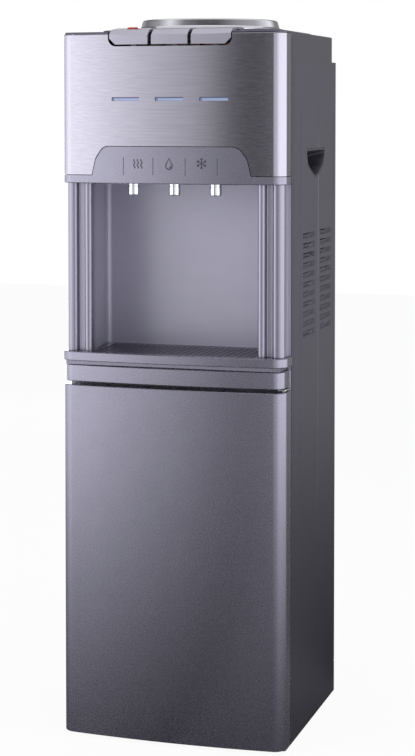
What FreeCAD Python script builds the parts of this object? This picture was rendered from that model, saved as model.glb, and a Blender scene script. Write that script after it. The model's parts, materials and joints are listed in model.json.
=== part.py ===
import FreeCAD, Part
import math
import os
import re
from FreeCAD import Vector

# A floor-standing water cooler with three push keys, a drip tray and a storage cupboard.
# Millimetres. X runs to the right, Y to the back, Z up. Every size is measured in the cabinet's own
# frame: x = 0 is the middle, y = 0 the straight line between the two front corners, z = 0 the lower
# edge of the side panels. Placements then move each piece so that the origin lies on the floor,
# below the middle of the whole.

SIZES = {
    # the cabinet
    "cabinet_width": 310,
    "cabinet_depth": 288,
    "foot_drop": 4,
    "foot_inset": 24,
    "front_bow": 7.8,
    "corner_radius": 16.4,
    "front_depth": 36,
    "flange_gap": 2,
    "shell_wall": 2.5,
    "sheet": 1,
    "fit_gap": 0.3,
    "bearing_gap": 0.05,
    # levels of the front, from the bottom up
    "door_bottom": 1,
    "door_height": 474,
    "door_top": "=door_bottom + door_height",
    "door_gap": 4.7,
    "band_height": 22.3,
    "band_bottom": "=door_top + door_gap",
    "band_top": "=band_bottom + band_height",
    "lip_gap": 6,
    "lip_height": 12,
    "lip_bottom": "=band_top + lip_gap",
    "tray_top": "=lip_bottom + lip_height",
    "alcove_height": 227,
    "apron_bottom": "=tray_top + alcove_height",
    "seam_rise": 11,
    "seam_level": "=apron_bottom + seam_rise",
    "seam_gap": 0.8,
    "panel_height": 198,
    "panel_top": "=apron_bottom + panel_height",
    "side_drop": 33,
    "side_top": "=panel_top - side_drop",
    "edge_line": 5.5,
    "band_inset": 2.5,
    "lip_proud": 1.2,
    # the apron's raised tab
    "tab_height": 49.5,
    "tab_top": "=apron_bottom + tab_height",
    "tab_margin_left": 45.5,
    "tab_margin_right": 44,
    "tab_left": "=cabinet_width / 2 - tab_margin_left",
    "tab_right": "=cabinet_width / 2 - tab_margin_right",
    # alcove
    "alcove_depth": 110,
    "mouth_margin": 40,
    "waist_margin": 24,
    "pillar_margin": 4,
    "alcove_mouth": "=cabinet_width / 2 - mouth_margin",
    "alcove_waist": "=cabinet_width / 2 - waist_margin",
    "alcove_corner": 8,
    "pillar_outer": "=cabinet_width / 2 - pillar_margin",
    "pillar_front": 9,
    "alcove_wall": 2,
    # drip tray and grille
    "tray_margin": 5.8,
    "tray_half": "=cabinet_width / 2 - tray_margin",
    "tray_wall": 2,
    "grille_margin": 2,
    "grille_half": "=alcove_mouth - grille_margin",
    "grille_thickness": 2.2,
    "hole_pitch": 9,
    "hole_radius": 2.6,
    # push keys
    "key_half": 84,
    "key_slot": 5,
    "key_drop": 14,
    "key_bottom": "=panel_top - key_drop",
    "notch_gap": 2.4,
    "notch_side": 1.8,
    "notch_behind": 1.5,
    "key_rise": 9,
    "key_top": "=panel_top + key_rise",
    "brow_drop": 10,
    "key_brow": "=key_top - brow_drop",
    "key_back": 57,
    "axle_inset": 7,
    "axle_back": "=key_back - axle_inset",
    "axle_drop": 4,
    "axle_level": "=panel_top - axle_drop",
    "axle_radius": 2,
    "tap_spacing": 57,
    "tap_forward": 17,
    "lock_aside": 64,
    "lock_length": 13,
    "lock_travel": 6,
    "lock_drop": 4.6,
    # taps
    "nozzle_radius": 8,
    "nozzle_drop": 16,
    "nozzle_bore": 4.5,
    "tap_radius": 13,
    "tap_height": 53,
    "tap_top": "=apron_bottom + tap_height",
    "plunger_radius": 3,
    "plunger_drop": 29,
    "plunger_top": "=key_top - plunger_drop",
    "spring_wire": 1.2,
    "spring_radius": 5.6,
    "spring_length": 15,
    "spring_turns": 5,
    # indicator windows
    "window_length": 39,
    "window_height": 5,
    "window_drop": 86,
    "window_level": "=panel_top - window_drop",
    "window_spacing": 61,
    # top cover, collar and bottle seat
    "skirt_inset": 3.5,
    "cover_rise": 3,
    "cover_top": "=panel_top + cover_rise",
    "cover_wall": 2.7,
    "facet_foot": 58,
    "facet_drop": 4,
    "facet_head": "=panel_top - facet_drop",
    "seat_ahead": 4,
    "seat_behind": 1,
    "seat_radius": (
        "=(cabinet_depth - skirt_inset - seat_behind - key_back - notch_behind - seat_ahead) / 2"
    ),
    "seat_back": "=cabinet_depth - skirt_inset - seat_behind - seat_radius",
    "plateau_margin": 29,
    "plateau_half": "=cabinet_width / 2 - plateau_margin",
    "plateau_rise": 5,
    "plateau_top": "=cover_top + plateau_rise",
    "collar_margin": 11.5,
    "collar_base": "=seat_radius - collar_margin",
    "collar_flare": 3.5,
    "collar_rim": "=collar_base - collar_flare",
    "collar_height": 15.5,
    "collar_top": "=plateau_top + collar_height",
    "collar_wall": 3.5,
    "seat_step": 13,
    "seat_bore": "=collar_base - seat_step",
    "seat_depth": 46,
    "seat_floor": "=plateau_top - seat_depth",
    "probe_radius": 11,
    "probe_drop": 3,
    "probe_top": "=plateau_top - probe_drop",
    # side panels
    "groove_width": 3,
    "groove_depth": 0.5,
    "groove_low": 65,
    "groove_drop": 70,
    "groove_high": "=side_top - groove_drop",
    "hem_line": 49,
    "plinth_line": 44,
    "louvre_drop": 238,
    "louvre_top": "=side_top - louvre_drop",
    "louvre_rise": 21,
    "louvre_low": "=tray_top + louvre_rise",
    "louvre_count": 11,
    "louvre_pitch": "=(louvre_top - louvre_low) / (louvre_count - 1)",
    "louvre_height": 7.5,
    "louvre_depth": 5,
    "louvre_length": 66,
    "louvre_spacing": 96,
    "louvre_margin": 27,
    "louvre_two": "=cabinet_depth - louvre_margin - louvre_length",
    "louvre_one": "=louvre_two - louvre_spacing",
    "groove_ahead": 13,
    "groove_one": "=louvre_one - groove_ahead",
    "groove_between": 11,
    "groove_two": "=louvre_two - groove_between",
    "groove_margin": 16,
    "groove_three": "=cabinet_depth - groove_margin",
    "grip_drop": 120,
    "grip_level": "=side_top - grip_drop",
    "grip_height": 43,
    "grip_foot": "=grip_level - grip_height",
    "grip_margin": 63,
    "grip_length": 110,
    "grip_front": "=cabinet_depth - grip_margin - grip_length",
    "grip_depth": 24,
    # tanks
    "tank_inset": 11,
    "cold_radius": "=seat_bore - tank_inset",
    "tank_gap": 7,
    "cold_top": "=seat_floor - tank_gap",
    "foam_wall": 20,
    "foam_radius": "=cold_radius + foam_wall",
    "foam_bottom": "=apron_bottom + fit_gap",
    "foam_floor": 12.7,
    "cold_bottom": "=foam_bottom + foam_floor",
    "outlet_rise": 15,
    "outlet_level": "=cold_bottom + outlet_rise",
    "evaporator_tube": 3,
    "evaporator_turns": 6,
    "evaporator_pitch": 12,
    "hot_radius": 52,
    "hot_rise": 44,
    "hot_height": 125,
    "hot_aside": 45,
    "hot_back": "=(alcove_depth + alcove_wall + cabinet_depth - sheet) / 2",
    # cupboard
    "liner_margin": 15.5,
    "liner_half": "=cabinet_width / 2 - liner_margin",
    "liner_wall": 1.5,
    "liner_bottom": 32.5,
    "liner_drop": 11.5,
    "liner_top": "=door_top - liner_drop",
    "liner_inset": 43,
    "liner_back": "=cabinet_depth - liner_inset",
    "hump_top": 205,
    "hump_inset": 120,
    "hump_front": "=cabinet_depth - hump_inset",
    "pan_height": 18,
    "deck_drop": 6,
    "deck_level": "=band_top - deck_drop",
    "hot_bottom": "=deck_level + hot_rise",
    "hot_top": "=hot_bottom + hot_height",
    "shelf_thickness": 1.8,
    "shelf_level": "=foam_bottom - shelf_thickness",
    # hinge
    "hinge_margin": 7,
    "hinge_aside": "=cabinet_width / 2 - hinge_margin",
    "hinge_back": 21,
    "pin_radius": 2.5,
    "pin_reach": 12,
    "leaf_thickness": 2,
    # compressor and condenser
    "compressor_radius": 50,
    "compressor_aside": 20,
    "compressor_inset": 60,
    "compressor_back": "=cabinet_depth - compressor_inset",
    "compressor_bottom": 30,
    "compressor_height": 130,
    "compressor_top": "=compressor_bottom + compressor_height",
    "bay_rise": 10,
    "bay_top": "=hump_top + bay_rise",
    "condenser_tube": 2.5,
    "condenser_standoff": 8,
    "condenser_margin": 73,
    "condenser_half": "=cabinet_width / 2 - condenser_margin",
    "condenser_rise": 35,
    "condenser_bottom": "=bay_top + condenser_rise",
    "condenser_pitch": 44,
    "condenser_runs": 13,
    "wire_radius": 0.8,
    "wire_count": 21,
    "drier_length": 80,
    # rear fittings
    "switch_margin": 45,
    "switch_aside": "=cabinet_width / 2 - switch_margin",
    "switch_drop": 46,
    "switch_level": "=side_top - switch_drop",
    "rocker_tilt": 8,
    "rocker_length": 9.1,
    "rocker_pin": 1.2,
    "spout_margin": 29,
    "spout_aside": "=cabinet_width / 2 - spout_margin",
    "spout_drop": 28,
    "spout_level": "=hot_bottom - spout_drop",
    "spout_radius": 7,
    "gland_margin": 35,
    "gland_aside": "=cabinet_width / 2 - gland_margin",
    "gland_rise": 17,
    "gland_level": "=bay_top + gland_rise",
    "screw_radius": 1.8,
}

doc = FreeCAD.newDocument("water_cooler")
sizes = doc.addObject("Spreadsheet::Sheet", "sizes")
for row, (alias, value) in enumerate(SIZES.items(), start=1):
    sizes.set("A%d" % row, alias)
    sizes.set("B%d" % row, str(value))
    sizes.setAlias("B%d" % row, alias)
doc.recompute()

nodes = []


def formula(text):
    """An expression of the sheet's aliases, or a plain number."""
    if not isinstance(text, str):
        return repr(float(text))
    return re.sub(r"[a-z_]+", lambda word: "sizes." + word.group(), text)


# Distances that several pieces share.
half = sizes.cabinet_width / 2
inner = half - sizes.sheet
cabinet_front = sizes.front_depth + sizes.flange_gap
rear = sizes.cabinet_depth
DEPTH_SHIFT = (
    "(front_bow + lip_proud - cabinet_depth - condenser_standoff"
    " - condenser_tube - 2 * wire_radius - fit_gap / 3) / 2"
)
tray_floor = sizes.band_top + 2 * sizes.fit_gap
tap_places = {
    "hot": -sizes.tap_spacing,
    "normal": 0,
    "cold": sizes.tap_spacing,
}
window_places = (-sizes.window_spacing, 0, sizes.window_spacing)
cup_wall = half - sizes.grip_depth - sizes.shell_wall
hose_aside = -(sizes.foam_radius + cup_wall) / 2


def finish(label, thing):
    """Name a piece and place it: the cabinet's frame is shifted onto the floor's middle."""
    thing.Label = label
    thing.setExpression("Placement.Base.y", formula(DEPTH_SHIFT))
    thing.setExpression("Placement.Base.z", formula("foot_drop"))
    nodes.append(thing)
    return thing


def bowed_y(x, inset=0):
    """Depth of the bowed front at a place across it, for a face set back by the inset."""
    radius = (half ** 2 + sizes.front_bow ** 2) / (2 * sizes.front_bow)
    return radius - sizes.front_bow - math.sqrt((radius - inset) ** 2 - x ** 2)


def bowed(inset, back):
    """Plan outline of the bowed front with its round corners, set back by the inset."""
    radius = (half ** 2 + sizes.front_bow ** 2) / (2 * sizes.front_bow)
    middle = Vector(0, radius - sizes.front_bow, 0)
    bow = radius - inset
    width = half - inset
    corner = sizes.corner_radius - inset
    centre = Vector(width - corner, middle.y - math.sqrt((bow - corner) ** 2 - (width - corner) ** 2), 0)
    outward = (centre - middle).normalize()
    meet = middle + outward * bow
    side = Vector(width, centre.y, 0)
    bisector = (outward + Vector(1, 0, 0)).normalize()
    knee = centre + bisector * corner
    front = Vector(0, inset - sizes.front_bow, 0)

    def mirrored(point):
        return Vector(-point.x, point.y, 0)

    return [
        Part.Arc(mirrored(meet), front, meet),
        Part.Arc(meet, knee, side),
        Part.LineSegment(side, Vector(width, back, 0)),
        Part.LineSegment(Vector(width, back, 0), Vector(-width, back, 0)),
        Part.LineSegment(Vector(-width, back, 0), mirrored(side)),
        Part.Arc(mirrored(side), mirrored(knee), mirrored(meet)),
    ]


def outline(points, radii=None):
    """Closed outline through the points; a radius given for a point's number rounds its corner."""
    radii = radii or {}
    corners = [Vector(x, y, 0) for x, y in points]
    starts = []
    ends = []
    arcs = []
    for number, corner in enumerate(corners):
        before = (corners[number - 1] - corner).normalize()
        after = (corners[(number + 1) % len(corners)] - corner).normalize()
        radius = radii.get(number, 0)
        if radius == 0:
            starts.append(corner)
            ends.append(corner)
            arcs.append(None)
            continue
        opening = before.getAngle(after)
        setback = radius / math.tan(opening / 2)
        centre = corner + (before + after).normalize() * (radius / math.sin(opening / 2))
        starts.append(corner + before * setback)
        ends.append(corner + after * setback)
        arcs.append(centre + (corner - centre).normalize() * radius)
    edges = []
    for number in range(len(corners)):
        following = (number + 1) % len(corners)
        if arcs[number] is not None:
            edges.append(Part.Arc(starts[number], arcs[number], ends[number]))
        if ends[number].distanceToPoint(starts[following]) > 1e-6:
            edges.append(Part.LineSegment(ends[number], starts[following]))
    return edges


def rectangle(left, low, right, high, radius=0):
    corners = [(left, low), (right, low), (right, high), (left, high)]
    return outline(corners, {number: radius for number in range(4)})


def circle(x, y, radius):
    return [Part.Circle(Vector(x, y, 0), Vector(0, 0, 1), radius)]


def wire_of(edges):
    return Part.Wire([edge.toShape() for edge in edges])


class Piece:
    """A body made of prisms and turned forms, each drawn on one of its origin planes."""

    # For each plane: the sign of its offset, and whether pads and pockets run backwards.
    PLANES = {
        "XY_Plane": (1, False, True),
        "XZ_Plane": (-1, True, False),
        "YZ_Plane": (1, False, True),
    }

    def __init__(self, name):
        self.name = name
        self.body = doc.addObject("PartDesign::Body", name)
        self.body.AllowCompound = True

    def sketch(self, plane, loops, start=0.0):
        sign = self.PLANES[plane][0]
        drawing = self.body.newObject("Sketcher::SketchObject", self.name + "_sketch")
        support = [item for item in self.body.Origin.OriginFeatures if item.Role == plane][0]
        drawing.AttachmentSupport = (support, [""])
        drawing.MapMode = "FlatFace"
        offset = formula(start)
        drawing.setExpression("AttachmentOffset.Base.z", "-(%s)" % offset if sign < 0 else offset)
        for loop in loops:
            for geometry in loop:
                drawing.addGeometry(geometry, False)
        return drawing

    def feature(self, kind, drawing):
        feature = self.body.newObject("PartDesign::" + kind, self.name + "_" + kind.lower())
        feature.Profile = drawing
        self.body.Tip = feature
        return feature

    def add(self, plane, loops, start, length):
        """Pad the loops from the plane at start, in the axis' own direction."""
        pad = self.feature("Pad", self.sketch(plane, loops, start))
        pad.Reversed = self.PLANES[plane][1]
        pad.setExpression("Length", formula(length))
        return pad

    def cut(self, plane, loops, start, length):
        """Pocket the loops from the plane at start, in the axis' own direction."""
        pocket = self.feature("Pocket", self.sketch(plane, loops, start))
        pocket.Reversed = self.PLANES[plane][2]
        pocket.setExpression("Length", formula(length))
        return pocket

    def turn(self, points, radii=None, kind="Revolution"):
        """Turn a half profile of (radius, height) points about the upright axis."""
        drawing = self.sketch("XZ_Plane", [outline(points, radii)])
        turned = self.feature(kind, drawing)
        turned.ReferenceAxis = (drawing, ["V_Axis"])
        turned.Angle = 360
        return turned

    def repeat_down(self, features, pitch, count):
        """Repeat features downwards at a pitch."""
        doc.recompute()
        pattern = self.body.newObject("PartDesign::LinearPattern", self.name + "_row")
        pattern.Originals = features
        axis = [item for item in self.body.Origin.OriginFeatures if item.Role == "Z_Axis"][0]
        pattern.Direction = (axis, [""])
        pattern.Reversed = True
        pattern.Mode = "Spacing"
        pattern.setExpression("Offset", formula(pitch))
        pattern.setExpression("Occurrences", formula(count))
        self.body.Tip = pattern
        return pattern

    def soften(self, kind, size, choose):
        """Fillet or Chamfer the edges that the choice picks."""
        doc.recompute()
        base = self.body.Tip
        names = [
            "Edge%d" % number
            for number, edge in enumerate(base.Shape.Edges, start=1)
            if choose(edge)
        ]
        rounded = self.body.newObject("PartDesign::" + kind, self.name + "_" + kind.lower())
        rounded.Base = (base, names)
        rounded.setExpression("Radius" if kind == "Fillet" else "Size", formula(size))
        self.body.Tip = rounded
        return rounded

    def done(self, across=0.0, back=0.0):
        """Finish the body; a turned body is moved to its axis."""
        finish(self.name, self.body)
        self.body.setExpression("Placement.Base.x", formula(across))
        self.body.setExpression("Placement.Base.y", "%s + %s" % (formula(DEPTH_SHIFT), formula(back)))
        return self.body


def grouped(name, parts):
    group = doc.addObject("Part::Compound", name)
    group.Links = parts
    return group


def shaped(name, shape):
    """A piece whose form is worked out as a shape."""
    feature = doc.addObject("Part::Feature", name)
    feature.Shape = shape
    return feature


def bent_path(points, bend):
    """Straight runs joined by tangent arcs of one bend radius."""
    corners = [Vector(*point) for point in points]
    edges = []
    last = corners[0]
    for before, corner, after in zip(corners, corners[1:], corners[2:]):
        back = (before - corner).normalize()
        ahead = (after - corner).normalize()
        opening = back.getAngle(ahead)
        setback = bend / math.tan(opening / 2)
        centre = corner + (back + ahead).normalize() * (bend / math.sin(opening / 2))
        entry = corner + back * setback
        leave = corner + ahead * setback
        crown = centre + (corner - centre).normalize() * bend
        edges.append(Part.LineSegment(last, entry).toShape())
        edges.append(Part.Arc(entry, crown, leave).toShape())
        last = leave
    edges.append(Part.LineSegment(last, corners[-1]).toShape())
    return edges


def tangent_arc(start, tangent, end):
    """The arc that leaves the start along the tangent and reaches the end."""
    chord = end - start
    sideways = tangent - chord * (tangent.dot(chord) / chord.dot(chord))
    angle = tangent.getAngle(chord)
    crown = (start + end) * 0.5 + sideways.normalize() * (chord.Length / 2 * math.tan(angle / 2))
    return Part.Arc(start, crown, end).toShape()


def wound_path(radius, pitch, turns, lead, foot):
    """A coil about an upright axis through its foot, as tangent arcs with a straight lead at each end."""
    steps = int(round(turns * 4))
    rise = pitch / (2 * math.pi)

    def place(step):
        angle = step * math.pi / 2
        return foot + Vector(radius * math.cos(angle), radius * math.sin(angle), rise * angle)

    def heading(step):
        angle = step * math.pi / 2
        return Vector(-radius * math.sin(angle), radius * math.cos(angle), rise).normalize()

    edges = [Part.LineSegment(place(0) - heading(0) * lead, place(0)).toShape()]
    for step in range(steps):
        here, there = place(step), place(step + 1)
        leave, arrive = heading(step), heading(step + 1)
        span = here - there
        both = leave + arrive
        lean = leave.dot(arrive) - 1
        linear = span.dot(both)
        reach = (-linear - math.sqrt(linear ** 2 - 2 * lean * span.dot(span))) / (2 * lean)
        middle = (here + there + (leave - arrive) * reach) * 0.5
        edges.append(tangent_arc(here, leave, middle))
        second = tangent_arc(there, arrive * -1, middle)
        edges.append(second)
    edges.append(Part.LineSegment(place(steps), place(steps) + heading(steps) * lead).toShape())
    return edges


def piped(edges, radius):
    """A round rod along a path."""
    path = Part.Wire(Part.__sortEdges__(edges))
    start = edges[0].Vertexes[0].Point
    along = edges[0].tangentAt(edges[0].FirstParameter)
    section = Part.Wire([Part.Circle(start, along, radius).toShape()])
    return path.makePipeShell([section], True, False)


def print_least_gap(name, edges, radius):
    """Measure on points how near a wound tube comes to itself, and print it."""
    path = Part.Wire(Part.__sortEdges__(edges))
    points = path.discretize(Distance=2 * radius)
    spacing = path.Length / (len(points) - 1)
    apart = int(math.ceil(2 * math.pi * radius / spacing)) + 1
    least = min(
        point.distanceToPoint(other)
        for number, point in enumerate(points)
        for other in points[number + apart:]
    )
    print("%s: least gap to itself %.2f mm" % (name, least - 2 * radius))


def mirrored(name, source):
    """The other hand of a piece, mirrored about the middle."""
    mirror = doc.addObject("Part::Mirroring", name)
    mirror.Source = source
    mirror.Normal = Vector(1, 0, 0)
    return mirror


# ---------------------------------------------------------------- base and side panels

def base_pan():
    pan = Piece("base_pan")
    back = rear - 2 * sizes.sheet - sizes.fit_gap
    pan.add("XY_Plane", [rectangle(-inner, cabinet_front, inner, back)], 0, "pan_height")
    wall = sizes.liner_wall
    hollow = rectangle(-inner + wall, cabinet_front + wall, inner - wall, back - wall, 6)
    pan.cut("XY_Plane", [hollow], "liner_wall", "pan_height")
    return pan.done()


foot_places = [
    (side * (inner - sizes.foot_inset), depth)
    for side in (-1, 1)
    for depth in (cabinet_front + 2.4 * sizes.foot_inset, rear - 1.2 * sizes.foot_inset)
]


def rubber_feet():
    feet = Piece("rubber_feet")
    feet.add("XY_Plane", [circle(x, y, 14) for x, y in foot_places], "-foot_drop", "foot_drop")
    feet.soften("Chamfer", 1, lambda edge: edge.BoundBox.ZMax < -sizes.foot_drop + 0.01 and len(edge.Vertexes) == 1)
    return feet.done()


def shield(grow):
    """The grip opening: flat on top, tapering to a round point, grown all round."""
    front = sizes.grip_front - grow
    back = sizes.grip_front + sizes.grip_length + grow
    top = sizes.grip_level + grow
    knee = sizes.grip_level - 0.55 * sizes.grip_height - grow / 2
    lean = 0.08 * sizes.grip_length
    points = [
        (front, top),
        (front + lean, knee),
        ((front + back) / 2, sizes.grip_foot - grow),
        (back - lean, knee),
        (back, top),
    ]
    return outline(points, {0: 4, 1: 14, 2: 30, 3: 14, 4: 4})


lowest_screw = sizes.bay_top + 15
screw_step = (sizes.side_top - 14 - lowest_screw) / 4
screw_levels = [lowest_screw + number * screw_step for number in range(5)]
screw_aside = inner - 7.5


def side_panel():
    """The right-hand panel: sheet steel with a rear and a top flange, grooves, louvres and a grip hole."""
    panel = Piece("side_panel_right")
    top = sizes.side_top
    profile = [
        (cabinet_front, 0),
        (rear, 0),
        (rear, top),
        (sizes.facet_foot, top),
        (cabinet_front, sizes.facet_head - 1.4 * sizes.flange_gap),
    ]
    panel.add("YZ_Plane", [outline(profile)], "cabinet_width / 2 - sheet", "sheet")
    flange_back = rear - sizes.sheet
    flange = rectangle(inner - 15, flange_back - sizes.sheet, half - sizes.sheet / 2, flange_back)
    panel.add("XY_Plane", [flange], 0, "side_top")
    ledge = rectangle(inner - 8, sizes.facet_foot, half - sizes.sheet / 2, flange_back)
    panel.add("XY_Plane", [ledge], "side_top - sheet", "sheet")
    holes = [circle(screw_aside, level, sizes.screw_radius + 0.1) for level in screw_levels]
    panel.cut("XZ_Plane", holes, flange_back - 3 * sizes.sheet, 4)
    panel.cut("YZ_Plane", [shield(0.2)], "cabinet_width / 2 - 3 * sheet", "4 * sheet")

    def groove(place):
        reach = sizes.groove_width / 2
        return outline([
            (half + 0.1, place - reach),
            (half + 0.1, place + reach),
            (half - sizes.groove_depth, place),
        ])

    lines = (sizes.groove_one, sizes.groove_two, sizes.groove_three)
    panel.cut("XY_Plane", [groove(line) for line in lines], "groove_low", "groove_high - groove_low")
    panel.cut("XY_Plane", [groove(sizes.hem_line)], 0, "side_top")
    panel.cut("XZ_Plane", [groove(sizes.plinth_line)], cabinet_front - 1, "cabinet_depth")

    sheet = sizes.sheet
    deep = half - sizes.louvre_depth
    starts = (sizes.louvre_one, sizes.louvre_two)
    bumps = []
    hollows = []
    slits = []
    for start in starts:
        end = start + sizes.louvre_length
        bumps.append(outline([
            (inner + sheet / 2, start - sheet),
            (inner + sheet / 2, end + sheet),
            (deep - sheet, end - 13),
            (deep - sheet, start + 3),
        ]))
        hollows.append(outline([(half + 0.1, start), (half + 0.1, end), (deep, end - 14), (deep, start + 4)]))
        slits.append(rectangle(deep - 2 * sheet, start + 6, deep + 0.2, end - 17))
    reach = sizes.louvre_height / 2
    bump = panel.add("XY_Plane", bumps, sizes.louvre_top - reach - sheet, "louvre_height + 2 * sheet")
    hollow = panel.cut("XY_Plane", hollows, sizes.louvre_top - reach, "louvre_height")
    slit = panel.cut("XY_Plane", slits, sizes.louvre_top + reach / 4, reach / 2)
    panel.repeat_down([bump, hollow, slit], "louvre_pitch", "louvre_count")
    right = panel.done()
    left = mirrored("side_panel_left", right)
    left.Label = "side_panel_left"
    nodes.append(left)


def grip_cups():
    """Moulded cups behind the grip openings, one for each side."""
    wall = sizes.shell_wall
    deepest = half - sizes.grip_depth

    def lifted(edges, x):
        wire = wire_of(edges)
        wire.rotate(Vector(0, 0, 0), Vector(0, 1, 0), 90)
        wire.rotate(Vector(0, 0, 0), Vector(1, 0, 0), 90)
        wire.translate(Vector(x, 0, 0))
        return wire

    outer = Part.Face(lifted(shield(0), deepest - wall)).extrude(Vector(sizes.grip_depth + wall, 0, 0))
    hollow = Part.makeLoft([lifted(shield(-8), deepest), lifted(shield(-3), half + 0.1)], True, True)
    collar = Part.Face(lifted(shield(5), inner - wall)).extrude(Vector(wall, 0, 0))
    cup = outer.fuse(collar).removeSplitter().cut(hollow)
    right = shaped("grip_cup_right", cup)
    left = mirrored("grip_cup_left", right)
    return finish("grip_cups", grouped("grip_cups", [right, left]))


def rear_panel():
    panel = Piece("rear_panel")
    face = rear - sizes.sheet
    sheet_outline = rectangle(-inner, sizes.bay_top, inner, sizes.side_top - 1)
    panel.add("XZ_Plane", [sheet_outline], face, "sheet")
    holes = [
        circle(side * screw_aside, level, sizes.screw_radius + 0.1)
        for side in (-1, 1)
        for level in screw_levels
    ]
    holes.append(circle(-sizes.spout_aside, sizes.spout_level, sizes.spout_radius + 0.1))
    holes.append(circle(-sizes.gland_aside, sizes.gland_level, 7.1))
    holes.append(rectangle(
        sizes.switch_aside - 17.5, sizes.switch_level - 11.5,
        sizes.switch_aside + 17.5, sizes.switch_level + 11.5,
    ))
    holes.append(circle(sizes.condenser_half + 12, top_run_level(), sizes.condenser_tube + 1.5))
    panel.cut("XZ_Plane", holes, face - 1, 4)
    return panel.done()


def panel_screws():
    """Cross-headed screws that hold the rear panel to the side panels' flanges."""
    screws = Piece("panel_screws")
    places = [(side * screw_aside, level) for side in (-1, 1) for level in screw_levels]
    shanks = [circle(x, z, sizes.screw_radius) for x, z in places]
    heads = [circle(x, z, 3.8) for x, z in places]
    screws.add("XZ_Plane", shanks, rear - 7, 7)
    screws.add("XZ_Plane", heads, rear, 1.8)
    return screws.done()


# ---------------------------------------------------------------- front mouldings

def door_outer():
    door = Piece("door_outer")
    wall = sizes.shell_wall
    low = sizes.door_bottom
    door.add("XY_Plane", [bowed(0, sizes.front_depth)], "door_bottom", "door_top - door_bottom")
    door.soften("Fillet", 1.5, lambda edge: (
        edge.BoundBox.ZLength < 0.01
        and edge.BoundBox.YMin < sizes.front_depth - 1
    ))
    hollow = bowed(wall, sizes.front_depth + 1)
    door.cut("XY_Plane", [hollow], low + wall, "door_top - door_bottom - 2 * shell_wall")
    door.cut("XY_Plane", [circle(sizes.hinge_aside, sizes.hinge_back, bush_radius + 0.02)], low - 1, "door_top + 2")
    return door.done()


def door_liner():
    """Inner door panel with a dished middle."""
    liner = Piece("door_liner")
    wall = sizes.shell_wall
    side = half - wall - 0.1
    low = sizes.door_bottom + wall + 0.1
    high = sizes.door_top - wall - 0.1
    front = sizes.front_depth - wall
    liner.add("XZ_Plane", [rectangle(-side, low, side, high)], front, "shell_wall")
    dish = rectangle(-side + 45, low + 50, side - 45, high - 50, 12)
    rim = rectangle(-side + 43, low + 48, side - 43, high - 48, 14)
    liner.add("XZ_Plane", [rim], front - 10, "10 + shell_wall / 2")
    liner.cut("XZ_Plane", [dish], front - 8, 20)
    return liner.done()


def door_gasket():
    gasket = Piece("door_gasket")
    outer = sizes.liner_half + 8
    low = sizes.liner_bottom - 8
    high = sizes.liner_top + 8
    inside = 8
    gasket.add(
        "XZ_Plane",
        [rectangle(-outer, low, outer, high, 4), rectangle(-outer + inside, low + inside, outer - inside, high - inside, 3)],
        "front_depth",
        "flange_gap - fit_gap",
    )
    return gasket.done()


bush_radius = sizes.pin_radius + 1.6


def hinge_bushes():
    """Nylon bushes in the top and bottom walls of the door, with a collar inside."""
    bushes = Piece("hinge_bushes")
    x, y = sizes.hinge_aside, sizes.hinge_back
    wall = sizes.shell_wall
    ring = [circle(x, y, bush_radius), circle(x, y, sizes.pin_radius + sizes.bearing_gap)]
    reach = sizes.pin_reach + 1
    bushes.add("XY_Plane", [ring], "door_bottom", reach)
    bushes.add("XY_Plane", [ring], sizes.door_top - reach, reach)
    return bushes.done()


def hinge_brackets():
    """Steel leaves above and below the door, each with its pin."""
    leaves = Piece("hinge_brackets")
    x, y = sizes.hinge_aside, sizes.hinge_back
    front = y - 6
    leaf = rectangle(x - 7, front, x + 5.5, cabinet_front, 3)
    low_leaf = rectangle(x - 7, front, x + 5.5, cabinet_front + 34, 3)
    above = (sizes.door_top + sizes.band_bottom) / 2 - sizes.leaf_thickness / 2
    leaves.add("XY_Plane", [leaf], above, "leaf_thickness")
    leaves.add("XY_Plane", [circle(x, y, sizes.pin_radius)], sizes.door_top - sizes.pin_reach, above + 1 - sizes.door_top + sizes.pin_reach)
    leaves.add("XY_Plane", [low_leaf], "-leaf_thickness", "leaf_thickness")
    leaves.add("XY_Plane", [circle(x, y, sizes.pin_radius)], "-leaf_thickness / 2", sizes.leaf_thickness / 2 + sizes.door_bottom + sizes.pin_reach)
    return leaves.done()


def front_band():
    """The plain band between the door and the drip tray."""
    band = Piece("front_band")
    inset = sizes.band_inset
    wall = sizes.shell_wall
    band.add("XY_Plane", [bowed(inset, cabinet_front)], "band_bottom", "band_top - band_bottom")
    band.soften("Fillet", 1.2, lambda edge: edge.BoundBox.ZLength < 0.01 and edge.BoundBox.YMin < cabinet_front - 1)
    band.cut("XY_Plane", [bowed(inset + wall, cabinet_front + 1)], sizes.band_bottom + wall, "band_top - band_bottom - 2 * shell_wall")
    return band.done()


def tab_points(gap):
    """The raised tab from its left foot to its right foot, grown by the gap."""
    left = -sizes.tab_left - gap
    right = sizes.tab_right + gap
    top = sizes.tab_top + gap
    return [
        (left, sizes.seam_level),
        (left + 5.5, top - 16),
        (left + 17, top),
        (right - 17, top),
        (right - 5.5, top - 16),
        (right, sizes.seam_level),
    ]


TAB_ROUNDS = {1: 20, 2: 14, 3: 18, 4: 20}


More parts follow.
